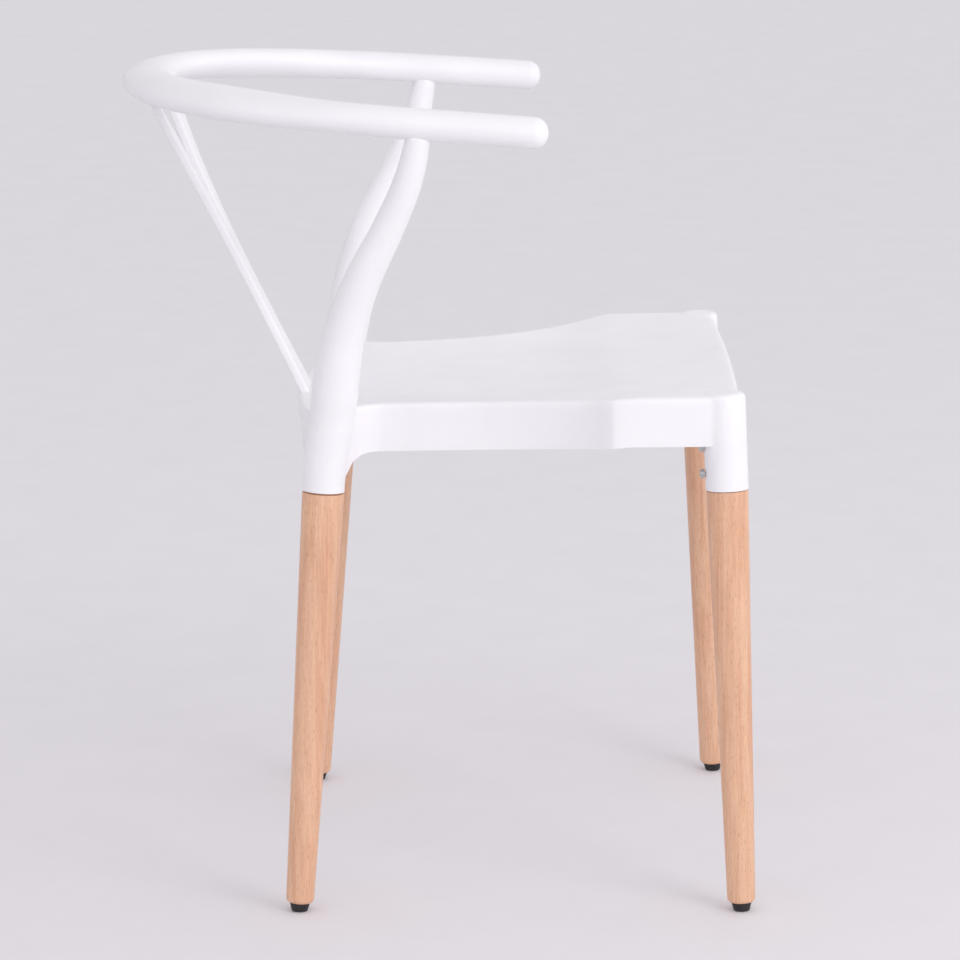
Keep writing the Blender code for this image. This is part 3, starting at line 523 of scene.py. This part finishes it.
def slabBottom(s, t):
    x, y = seatPlan(s, t)
    top = rimHeight(sideY(t)) - sag(s, t)
    return drafted(x, y, apronBottom(s, t) - seat["spare"], top)


def hollowTop(s, t):
    return seatTop(s, t, seat["wall"], seat["wall"])


def hollowBottom(s, t):
    x, y = seatPlan(s, t, seat["wall"])
    top = rimHeight(sideY(t)) - sag(s, t)
    return drafted(x, y, seat["hollowFloor"], top)


def trimTop(s, t):
    # a wider sheet that follows the aprons' lower edges
    wideS, wideT = s * 1.25, -0.15 + 1.3 * t
    heldS, heldT = max(-1.0, min(1.0, wideS)), max(0.0, min(1.0, wideT))
    x, y = seatPlan(heldS, heldT)
    return Vector((x + (wideS - heldS) * 0.3, y + (wideT - heldT) * 0.4, apronBottom(heldS, heldT)))


def trimBottom(s, t):
    spot = trimTop(s, t)
    spot.z = seat["trimFloor"]
    return spot


def postAxis(side):
    mouth = legPoint("rear", side, legs["jointHeight"])
    return [(mouth + Vector((side * x, y, z)) * mm, diameter * mm / 2) for z, x, y, diameter in postStations]


def makePost(name, side, grow=0.0):
    deselectAll()
    path = bpy.data.curves.new(name, "CURVE")
    path.dimensions = "3D"
    path.bevel_depth = 1.0
    path.bevel_resolution = 10
    path.resolution_u = 10
    path.render_resolution_u = 10
    path.use_fill_caps = True
    spline = path.splines.new("BEZIER")
    knots = [(legPoint("rear", side, legs["jointHeight"] + lift * mm), sockets["radius"]) for lift in (-12, 12)]
    knots += postAxis(side)
    spline.bezier_points.add(len(knots) - 1)
    for knot, (centre, radius) in zip(spline.bezier_points, knots):
        knot.co = centre
        knot.radius = radius + grow
        knot.handle_left_type = knot.handle_right_type = "AUTO"
    post = bpy.data.objects.new(name, path)
    bpy.context.collection.objects.link(post)
    pick(post)
    bpy.ops.object.convert(target="MESH")
    return closeUp(bpy.context.object)


def makeSocket(name, side, grow=0.0):
    up = legUp("front", side)
    foot = legPoint("front", side, legs["jointHeight"]) - up * sockets["spare"]
    length = sockets["topHeight"] - foot.z
    deselectAll()
    bpy.ops.mesh.primitive_cylinder_add(vertices=72, radius=sockets["radius"] + grow, depth=length,
                                        location=foot + up * (length / 2), rotation=turnTo(up))
    socket = keepPlace(bpy.context.object)
    socket.name = name
    bpy.ops.object.mode_set(mode="EDIT")
    bpy.ops.mesh.select_all(action="DESELECT")
    bpy.ops.object.mode_set(mode="OBJECT")
    middle = foot.z + length / 2
    for edge in socket.data.edges:
        ends = [socket.data.vertices[i].co for i in edge.vertices]
        edge.select = all(p.z > middle for p in ends)
    bpy.ops.object.mode_set(mode="EDIT")
    bpy.ops.mesh.select_mode(type="EDGE")
    bpy.ops.mesh.bevel(offset=sockets["topRound"], segments=5, affect="EDGES")
    bpy.ops.object.mode_set(mode="OBJECT")
    return socket


def block(name, low, high):
    deselectAll()
    size = [high[i] - low[i] for i in range(3)]
    bpy.ops.mesh.primitive_cube_add(size=1, location=[(high[i] + low[i]) / 2 for i in range(3)], scale=size)
    made = keepPlace(bpy.context.object)
    made.name = name
    return made


def underMouth(end, side):
    # everything below a socket's mouth
    up = legUp(end, side)
    mouth = legPoint(end, side, legs["jointHeight"] + 0.3 * mm)
    deselectAll()
    bpy.ops.mesh.primitive_cylinder_add(vertices=32, radius=34 * mm, depth=40 * mm,
                                        location=mouth - up * 20 * mm, rotation=turnTo(up))
    return keepPlace(bpy.context.object)


def selectBand(piece, near):
    # selects the points for which near(point) is true
    pick(piece)
    bpy.ops.object.mode_set(mode="EDIT")
    bpy.ops.mesh.select_mode(type="VERT")
    bpy.ops.mesh.select_all(action="DESELECT")
    bpy.ops.object.mode_set(mode="OBJECT")
    for vertex in piece.data.vertices:
        vertex.select = near(vertex.co)
    bpy.ops.object.mode_set(mode="EDIT")


def besidePost(point, knots):
    # distance from a post's skin, found at the point's own height
    for (low, lowR), (high, highR) in zip(knots, knots[1:]):
        if low.z <= point.z <= high.z:
            share = (point.z - low.z) / (high.z - low.z)
            centre = low.lerp(high, share)
            return math.hypot(point.x - centre.x, point.y - centre.y) - (lowR + (highR - lowR) * share)
    return 1.0


def makeSeatFrame():
    slab = thicken(shapedGrid("seatSlab", 46, 44, seatTop), slabBottom)
    bevel = slab.modifiers.new("edge", "BEVEL")
    bevel.width = seat["edgeRound"]
    bevel.segments = 4
    bevel.limit_method = "ANGLE"
    bevel.angle_limit = math.radians(50)
    bevel.use_clamp_overlap = False
    finishModifiers(slab)
    grown = [makeSocket(f"socket{name}", side) for name, side in sideNames.items()]
    grown += [makePost(f"post{name}", side) for name, side in sideNames.items()]
    pick(slab, *grown)
    bpy.ops.object.join()
    whole = bpy.context.object
    whole.data.remesh_voxel_size = seat["voxel"]
    whole.data.remesh_voxel_adaptivity = 0
    bpy.ops.object.voxel_remesh()
    print("seat moulding joined:", len(whole.data.polygons), "faces")

    # light smoothing all over, then the fillets round the foot of each post
    pick(whole)
    bpy.ops.object.mode_set(mode="EDIT")
    bpy.ops.mesh.select_all(action="SELECT")
    bpy.ops.mesh.vertices_smooth(factor=0.5, repeat=3)
    bpy.ops.object.mode_set(mode="OBJECT")
    knots = {side: postAxis(side) for side in sideNames.values()}
    rim = seat["rimRear"]

    def atPostFoot(point, width):
        if abs(point.x) < postFoot["fromX"] or point.y < postFoot["fromY"]:
            return False
        if not rim - postFoot["below"] < point.z < rim + postFoot["above"]:
            return False
        gap = besidePost(point, knots[1 if point.x > 0 else -1])
        overRim = point.z - (rim - postFoot["rimSkin"])
        return -postFoot["inside"] < gap < width and overRim < width

    for width, repeats in ((seat["fillet"], 40), (seat["fillet"] * 1.6, 5)):
        selectBand(whole, lambda point: atPostFoot(point, width))
        bpy.ops.mesh.vertices_smooth(factor=0.5, repeat=repeats)
        bpy.ops.object.mode_set(mode="OBJECT")

    # the hollow under the seat leaves sockets, ribs and the splat's block standing
    hollow = thicken(shapedGrid("hollow", 30, 30, hollowTop), hollowBottom)
    trim = thicken(shapedGrid("trim", 60, 60, trimTop), trimBottom)
    cut(hollow, trim, "UNION")
    keepers = [makeSocket("keepSocket", side, seat["keep"]) for side in sideNames.values()]
    keepers += [makePost("keepPost", side, seat["keep"]) for side in sideNames.values()]
    half = seat["ribThick"] / 2
    for x in seat["ribX"]:
        keepers.append(block("rib", (x - half, -0.30, seat["ribLow"]), (x + half, 0.14, 0.5)))
    for y in seat["ribY"]:
        keepers.append(block("rib", (-0.26, y - half, seat["ribLow"]), (0.26, y + half, 0.5)))
    keepers.append(block("splatBlock", *seat["block"]))
    for keeper in keepers:
        cut(hollow, keeper)
    cut(whole, hollow, solver="MANIFOLD")
    for end in ("front", "rear"):
        for side in sideNames.values():
            mouthCut = underMouth(end, side)
            cut(whole, mouthCut, solver="MANIFOLD")
            discard(mouthCut)
    discard(hollow, trim, *keepers)
    print("seat moulding cut:", len(whole.data.polygons), "faces")
    return smoothShade(whole, 40)


seatFrame = makeSeatFrame()
dress(seatFrame, "seatFrame", polypropylene, "polypropylene_white", "seat_frame")


# Back rail

# share of the posts' distance from the middle, distance behind the posts' tops, half width and half
# thickness in mm, tilt in degrees, from an arm's end to the middle of the back
railPlan = (
    (1.0234, -101.2, 14.6, 14.2, 0),
    (1.0054, -21.2, 14.6, 14.2, 0),
    (0.9825, 38.3, 15.8, 14.1, 3.6),
    (0.9320, 86.3, 18.2, 13.9, 10.7),
    (0.8456, 131.8, 20.5, 13.8, 17.9),
    (0.7325, 174.6, 21.9, 13.6, 19.1),
    (0.5092, 225.9, 22.4, 13.3, 12.1),
    (0.2588, 248.8, 22.8, 13.1, 6.5),
    (0.0, 255.4, 23.1, 12.9, 3.0),
)
rail = {
    "abovePost": 10.2 * mm,
    "rise": 0.0812,
    "dome": 13 * mm,
    "around": 40,
    "along": 150,
    "domeShare": 0.04,             # share of the grid's rows that make each rounded end
}


def railStations():
    topX = abs(postAxis(1)[-1][0].x) / mm
    half = [(share * topX, y, wide, thick, tilt) for share, y, wide, thick, tilt in railPlan]
    whole = [(-x, y, w, h, a) for x, y, w, h, a in half] + half[-2::-1]
    along = [0.0]
    for a, b in zip(whole, whole[1:]):
        along.append(along[-1] + math.hypot(b[0] - a[0], b[1] - a[1]))
    return whole, along


def slopesOf(values, along):
    slopes = []
    last = len(along) - 1
    for i in range(len(along)):
        if i in (0, last):
            j = min(i, last - 1)
            slopes.append([(b - a) / (along[j + 1] - along[j]) for a, b in zip(values[j], values[j + 1])])
            continue
        before, after = along[i] - along[i - 1], along[i + 1] - along[i]
        slopes.append([
            (before ** 2 * c + (after ** 2 - before ** 2) * b - after ** 2 * a) / (before * after * (before + after))
            for a, b, c in zip(values[i - 1], values[i], values[i + 1])
        ])
    return slopes


railValues, railAlong = railStations()
railSlopes = slopesOf(railValues, railAlong)


def railAt(distance):
    i = max(0, min(len(railAlong) - 2, sum(1 for a in railAlong if a <= distance) - 1))
    span = railAlong[i + 1] - railAlong[i]
    u = (distance - railAlong[i]) / span
    row = []
    for a, b, da, db in zip(railValues[i], railValues[i + 1], railSlopes[i], railSlopes[i + 1]):
        da, db = da * span, db * span
        row.append(a + u * da + u ** 2 * (3 * (b - a) - 2 * da - db) + u ** 3 * (2 * (a - b) + da + db))
    return row


def railPoint(s, t):
    # s turns round the section and t runs along the rail, with a dome at each end
    share, length = rail["domeShare"], railAlong[-1]
    if t < share:
        swing, at, way = math.radians(90) * (1 - t / share), 0.0, -1
    elif t > 1 - share:
        swing, at, way = math.radians(90) * (t - 1 + share) / share, length, 1
    else:
        swing, at, way = 0.0, length * (t - share) / (1 - 2 * share), 1
    x, y, wide, thick, tilt = railAt(at)
    nextX, nextY = railAt(at + 0.5)[:2]
    run = Vector((nextX - x, nextY - y, 0)).normalized()
    top = postAxis(1)[-1][0]
    centre = Vector((x * mm, top.y + y * mm, top.z + rail["abovePost"] + rail["rise"] * y * mm))
    out, tilt = Vector((-run.y, run.x, 0)), math.radians(tilt)
    across = out * math.cos(tilt) - Vector((0, 0, math.sin(tilt)))
    normal = Vector((0, 0, math.cos(tilt))) + out * math.sin(tilt)
    angle = math.pi * s
    ring = across * wide * mm * math.cos(angle) + normal * thick * mm * math.sin(angle)
    return centre + run * way * rail["dome"] * math.sin(swing) + ring * math.cos(swing)


backRail = smoothShade(closeUp(shapedGrid("backRail", rail["around"], rail["along"], railPoint), 0.02 * mm), 60)
dress(backRail, "backRail", polypropylene, "polypropylene_white", "back_rail")
print("back rail made:", len(backRail.data.polygons), "faces")


# Y splat

splat = {
    "thick": 8 * mm,
    "edgeRound": 2.2 * mm,
    "base": 436 * mm,
    "top": 738 * mm,
    "rim": 460.5 * mm,
    "rimY": 130.3 * mm,
    "bowLow": 0.4,
    "bowHigh": 0.75,
    "stemX": 21 * mm,
    "waist": 540 * mm,
    "footX": 28 * mm,
    "armSpread": 85 * mm,
    "armTop": 730 * mm,
    "armPower": 2.1,
    "armWidth": 26.5 * mm,
    "topY": 263.15 * mm,
    "outerRows": 48,
    "innerRows": 30,
    "crossCuts": 40,
    "uprightCuts": 9,              # on each side of the middle
    "uprightStep": 11 * mm,
}
splat["lean"] = (splat["topY"] - splat["rimY"]) / (splat["top"] - splat["rim"])


def splatY(x, z):
    share = (z - splat["base"]) / (splat["top"] - splat["base"])
    bow = splat["bowLow"] + (splat["bowHigh"] - splat["bowLow"]) * share
    return splat["rimY"] + splat["lean"] * (z - splat["rim"]) - bow * x * x


def splatOuter(z):
    if z < splat["waist"]:
        share = (splat["waist"] - z) / (splat["waist"] - splat["base"])
        return splat["stemX"] + (splat["footX"] - splat["stemX"]) * share ** 1.6
    share = (z - splat["waist"]) / (splat["armTop"] - splat["waist"])
    return splat["stemX"] + splat["armSpread"] * share ** splat["armPower"]


def splatInner(z):
    slope = (splatOuter(z + mm) - splatOuter(z - mm)) / (2 * mm)
    return splatOuter(z) - splat["armWidth"] * math.sqrt(1 + slope * slope)


def splatOutline():
    low, high = splat["waist"], splat["armTop"]
    for step in range(40):
        middle = (low + high) / 2
        low, high = (middle, high) if splatInner(middle) < 0 else (low, middle)
    crotch = high + 2 * mm
    rows, innerRows = splat["outerRows"], splat["innerRows"]
    outer = [splat["top"] + (splat["base"] - splat["top"]) * i / rows for i in range(rows + 1)]
    inner = [crotch + (splat["top"] - crotch) * (1 - i / innerRows) ** 1.6 for i in range(innerRows + 1)]
    half = [(max(0.0, splatInner(z)), z) for z in inner[::-1]] + [(splatOuter(z), z) for z in outer]
    half[0] = (0.0, half[0][1])
    return half + [(-x, z) for x, z in half[::-1][:-1]]


def makeSplat():
    # a flat outline with rounded edges, cut to a mesh, refined and bent to the board's curve
    deselectAll()
    outline = bpy.data.curves.new("ySplat", "CURVE")
    outline.dimensions = "2D"
    outline.fill_mode = "BOTH"
    outline.bevel_depth = splat["edgeRound"]
    outline.bevel_resolution = 3
    outline.extrude = splat["thick"] / 2 - splat["edgeRound"]
    outline.offset = -splat["edgeRound"]
    points = splatOutline()
    spline = outline.splines.new("POLY")
    spline.points.add(len(points) - 1)
    for knot, (x, z) in zip(spline.points, points):
        knot.co = (x, z, 0, 1)
    spline.use_cyclic_u = True
    flat = bpy.data.objects.new("ySplat", outline)
    bpy.context.collection.objects.link(flat)
    pick(flat)
    bpy.ops.object.convert(target="MESH")
    board = closeUp(bpy.context.object)
    # cross cuts let the faces follow the bend
    bpy.ops.object.mode_set(mode="EDIT")
    for step in range(1, splat["crossCuts"]):
        bpy.ops.mesh.select_all(action="SELECT")
        height = splat["base"] + (splat["top"] - splat["base"]) * step / splat["crossCuts"]
        bpy.ops.mesh.bisect(plane_co=(0, height, 0), plane_no=(0, 1, 0))
    for step in range(-splat["uprightCuts"], splat["uprightCuts"] + 1):
        bpy.ops.mesh.select_all(action="SELECT")
        bpy.ops.mesh.bisect(plane_co=(step * splat["uprightStep"], 0, 0), plane_no=(1, 0, 0))
    bpy.ops.object.mode_set(mode="OBJECT")
    lean = Vector((0, 1, -splat["lean"])).normalized()
    for vertex in board.data.vertices:
        x, z, off = vertex.co
        vertex.co = Vector((x, splatY(x, z), z)) - lean * off
    return smoothShade(closeUp(board), 40)


ySplat = makeSplat()
dress(ySplat, "ySplat", polypropylene, "polypropylene_white", "y_splat")
print("splat made:", len(ySplat.data.polygons), "faces")


# Legs

def ringEdges(piece, test):
    # selects the edges whose two ends both pass the test, in the piece's own upright place
    bpy.ops.object.mode_set(mode="EDIT")
    bpy.ops.mesh.select_mode(type="EDGE")
    bpy.ops.mesh.select_all(action="DESELECT")
    bpy.ops.object.mode_set(mode="OBJECT")
    for edge in piece.data.edges:
        edge.select = all(test(piece.data.vertices[i].co) for i in edge.vertices)
    bpy.ops.object.mode_set(mode="EDIT")


def pickFaces(piece, test):
    bpy.ops.mesh.select_mode(type="FACE")
    bpy.ops.mesh.select_all(action="DESELECT")
    bpy.ops.object.mode_set(mode="OBJECT")
    for polygon in piece.data.polygons:
        polygon.select = test(polygon)
    bpy.ops.object.mode_set(mode="EDIT")


def makeLeg():
    # upright at the origin: tapered shaft, rounded foot, eased shoulder and spigot
    length = legs["jointHeight"] - legs["glideHeight"]
    deselectAll()
    bpy.ops.mesh.primitive_cone_add(vertices=legs["sides"], radius1=legs["footRadius"], radius2=legs["topRadius"],
                                    depth=length, location=(0, 0, length / 2))
    leg = keepPlace(bpy.context.object)
    ringEdges(leg, lambda p: p.z < 1 * mm)
    bpy.ops.mesh.bevel(offset=legs["footRound"], segments=6, affect="EDGES")
    ringEdges(leg, lambda p: p.z > length - 1 * mm)
    bpy.ops.mesh.bevel(offset=legs["topRound"], segments=3, affect="EDGES")
    pickFaces(leg, lambda face: face.normal.z > 0.99 and len(face.vertices) > 8)
    bpy.ops.mesh.inset(thickness=legs["topRadius"] - legs["topRound"] - legs["spigotRadius"])
    bpy.ops.mesh.extrude_region_move(TRANSFORM_OT_translate={"value": (0, 0, legs["spigotLength"])})
    # even rings along the shaft keep the shading and the pattern steady
    for share in (0.2, 0.4, 0.6, 0.8):
        bpy.ops.mesh.select_all(action="SELECT")
        bpy.ops.mesh.bisect(plane_co=(0, 0, length * share), plane_no=(0, 0, 1))
    bpy.ops.object.mode_set(mode="OBJECT")
    return smoothShade(closeUp(leg), 40)


# Glides

glides = {
    "topRadius": 9.25 * mm,
    "footRadius": 7.25 * mm,
    "round": 0.8 * mm,
    "soleRound": 1.0 * mm,
    "recessRadius": 3.3 * mm,
    "recessDepth": 2.9 * mm,
    "gap": 0.3 * mm,
}


def makeGlide():
    height = legs["glideHeight"] - glides["gap"]
    deselectAll()
    bpy.ops.mesh.primitive_cone_add(vertices=56, radius1=glides["footRadius"], radius2=glides["topRadius"],
                                    depth=height, location=(0, 0, height / 2))
    glide = keepPlace(bpy.context.object)
    ringEdges(glide, lambda p: p.z > height - 1 * mm)
    bpy.ops.mesh.bevel(offset=glides["round"], segments=4, affect="EDGES")
    ringEdges(glide, lambda p: p.z < 1 * mm)
    bpy.ops.mesh.bevel(offset=glides["soleRound"], segments=4, affect="EDGES")
    # the sole is inset and pushed up for the nail's head
    pickFaces(glide, lambda face: face.normal.z < -0.99 and len(face.vertices) > 8)
    bpy.ops.mesh.inset(thickness=glides["footRadius"] - glides["soleRound"] - glides["recessRadius"])
    bpy.ops.mesh.extrude_region_move(TRANSFORM_OT_translate={"value": (0, 0, glides["recessDepth"])})
    bpy.ops.object.mode_set(mode="OBJECT")
    return smoothShade(closeUp(glide), 40)


# Screws and washers

screws = {
    "first": 15 * mm,
    "spacing": 24 * mm,
    "rearTurn": math.radians(20),
    "headRadius": 4 * mm,
    "headThick": 2.6 * mm,
    "shankRadius": 2 * mm,
    "length": 20 * mm,
    "washerRadius": 5 * mm,
    "washerThick": 0.9 * mm,
    "washerRound": 0.25 * mm,
    "headRound": 1.9 * mm,
    "point": 4 * mm,
    "gap": 0.3 * mm,
    "slotLong": 4.2 * mm,
    "slotWide": 1.0 * mm,
    "slotDeep": 1.5 * mm,
}


def makeScrew():
    under = screws["washerThick"] + 2 * screws["gap"]
    top = under + screws["headThick"]
    deselectAll()
    bpy.ops.mesh.primitive_cylinder_add(vertices=40, radius=screws["headRadius"], depth=screws["headThick"],
                                        location=(0, 0, (under + top) / 2))
    screw = keepPlace(bpy.context.object)
    ringEdges(screw, lambda p: p.z > top - 0.5 * mm)
    bpy.ops.mesh.bevel(offset=screws["headRound"], segments=6, affect="EDGES")
    pickFaces(screw, lambda face: face.normal.z < -0.99)
    bpy.ops.mesh.inset(thickness=screws["headRadius"] - screws["shankRadius"])
    bpy.ops.mesh.extrude_region_move(TRANSFORM_OT_translate={"value": (0, 0, screws["point"] - screws["length"])})
    bpy.ops.mesh.extrude_region_move(TRANSFORM_OT_translate={"value": (0, 0, -screws["point"])})
    bpy.ops.mesh.merge(type="CENTER")
    bpy.ops.object.mode_set(mode="OBJECT")
    closeUp(screw)
    for turn in (0, 90):
        deselectAll()
        bpy.ops.mesh.primitive_cube_add(size=1, location=(0, 0, top), rotation=(0, 0, math.radians(turn)),
                                        scale=(screws["slotLong"], screws["slotWide"], 2 * screws["slotDeep"]))
        slotCutter = keepPlace(bpy.context.object)
        cut(screw, slotCutter)
        discard(slotCutter)
    return smoothShade(screw, 30)


def makeWasher():
    low, high = screws["gap"], screws["gap"] + screws["washerThick"]
    deselectAll()
    bpy.ops.mesh.primitive_cylinder_add(vertices=48, radius=screws["washerRadius"], depth=high - low,
                                        location=(0, 0, (low + high) / 2))
    washer = keepPlace(bpy.context.object)
    ringEdges(washer, lambda p: p.z > high - 0.1 * mm)
    bpy.ops.mesh.bevel(offset=screws["washerRound"], segments=2, affect="EDGES")
    bpy.ops.object.mode_set(mode="OBJECT")
    deselectAll()
    bpy.ops.mesh.primitive_cylinder_add(vertices=32, radius=screws["shankRadius"] + screws["gap"], depth=8 * mm)
    hole = keepPlace(bpy.context.object)
    cut(washer, hole)
    discard(hole)
    return smoothShade(washer, 30)


def screwPlaces(end, side):
    up = legUp(end, side)
    if end == "front":
        out = Vector((0, 1, 0))
    else:
        out = Vector((-side * math.cos(screws["rearTurn"]), -math.sin(screws["rearTurn"]), 0))
    out = (out - up * out.dot(up)).normalized()
    mouth = legPoint(end, side, legs["jointHeight"])
    seatRadius = sockets["radius"] + sockets["padProud"]
    return [(mouth + up * (screws["first"] + i * screws["spacing"]) + out * seatRadius, out) for i in range(2)]


plainLeg, plainGlide, plainScrew, plainWasher = makeLeg(), makeGlide(), makeScrew(), makeWasher()
for number, end in enumerate(("front", "rear")):
    for sideName, side in sideNames.items():
        label = f"{end}_{sideName}"
        beech = lacqueredBeech(f"lacqueredBeech_{label}", (0.13 * number + 0.31 * side, 0.17 * side, 0.23 * number))
        leg = copyOf(plainLeg, "leg")
        leg.data.transform(standOn(legPoint(end, side, legs["glideHeight"]), legUp(end, side)))
        dress(leg, f"turnedLeg_{label}", beech, "beech_clear_lacquer", f"leg_{label}")
        glide = copyOf(plainGlide, "glide")
        glide.data.transform(standOn(legPoint(end, side, 0.0), legUp(end, side)))
        floorCut = block("floorCut", (-0.3, -0.35, -0.02), (0.3, 0.35, 0.0))
        cut(glide, floorCut)
        discard(floorCut)
        smoothShade(glide, 40)
        dress(glide, f"footGlide_{label}", nylon, "nylon_black", f"glide_{label}")
        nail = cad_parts[f"glide_nail_{label}"]
        nail.data.materials.clear()
        nail.data.materials.append(zinc)
        for word, (spot, out) in zip(("lower", "upper"), screwPlaces(end, side)):
            for plain, kind, node in ((plainScrew, "panHeadScrew", "leg_screw"), (plainWasher, "flatWasher", "washer")):
                made = copyOf(plain, kind)
                made.data.transform(standOn(spot, out))
                dress(made, f"{kind}_{label}_{word}", zinc, "steel_zinc_plated", f"{node}_{label}_{word}")
discard(plainLeg, plainGlide, plainScrew, plainWasher)
print("legs, glides, screws and washers made")


# Studio

air = {
    "horizon": 1.58,
    "zenith": 0.62,
    "haze": 0.52,
    "hazeLow": 0.10,
    "hazeHigh": 0.22,
    "frontBias": 0.28,
    "front": (-0.7, -0.7, 0.0),
    "colour": "F5F3F7",
}
keyLight = {
    "from": (-2.5, -2.3, 1.8),
    "towards": (0, 0, 0.35),
    "size": 1.6,
    "watts": 27,
    "colour": "FFFDFB",
}


def makeAir():
    # soft light from all round: stronger low down, weaker behind the chair's back, with a dim grey
    # band along the horizon so that the white chair stands out against it
    world = bpy.data.worlds.new("studioAir")
    bpy.context.scene.world = world
    bpy.context.scene.view_settings.view_transform = "Standard"  # plain tones, so the white stays white
    world.use_nodes = True
    tree = world.node_tree
    way = addNode(tree, "ShaderNodeTexCoord").outputs["Generated"]
    height = addNode(tree, "ShaderNodeSeparateXYZ", {"Vector": way}).outputs["Z"]
    low = mapped(tree, height, air["horizon"], air["zenith"], 0.0, 1.0)
    haze = mapped(tree, height, air["haze"], 1.0, air["hazeLow"], air["hazeHigh"])
    dimmed = addNode(tree, "ShaderNodeMath", {0: low, 1: haze}, operation="MULTIPLY").outputs["Value"]
    facing = addNode(tree, "ShaderNodeVectorMath", {0: way, 1: air["front"]}, operation="DOT_PRODUCT").outputs["Value"]
    strength = addNode(tree, "ShaderNodeMath", {0: facing, 1: air["frontBias"], 2: dimmed}, operation="MULTIPLY_ADD")
    setInputs(tree, tree.nodes["Background"], {"Color": linear(air["colour"]), "Strength": strength.outputs["Value"]})


def makeKeyLight():
    lamp = bpy.data.lights.new("keyLight", "AREA")
    lamp.shape = "SQUARE"
    lamp.size = keyLight["size"]
    lamp.energy = keyLight["watts"]
    lamp.color = linear(keyLight["colour"])[:3]
    holder = bpy.data.objects.new("keyLight", lamp)
    bpy.context.scene.collection.objects.link(holder)
    holder.location = keyLight["from"]
    aim = Vector(keyLight["towards"]) - Vector(keyLight["from"])
    holder.rotation_euler = aim.to_track_quat("-Z", "Y").to_euler()


def makeStudio():
    deselectAll()
    bpy.ops.mesh.primitive_plane_add(size=60)
    floor = bpy.context.object
    floor.name = "studioFloor"
    floor.data.materials.append(paperFloor())
    makeAir()
    makeKeyLight()


makeStudio()
print("studio lit")
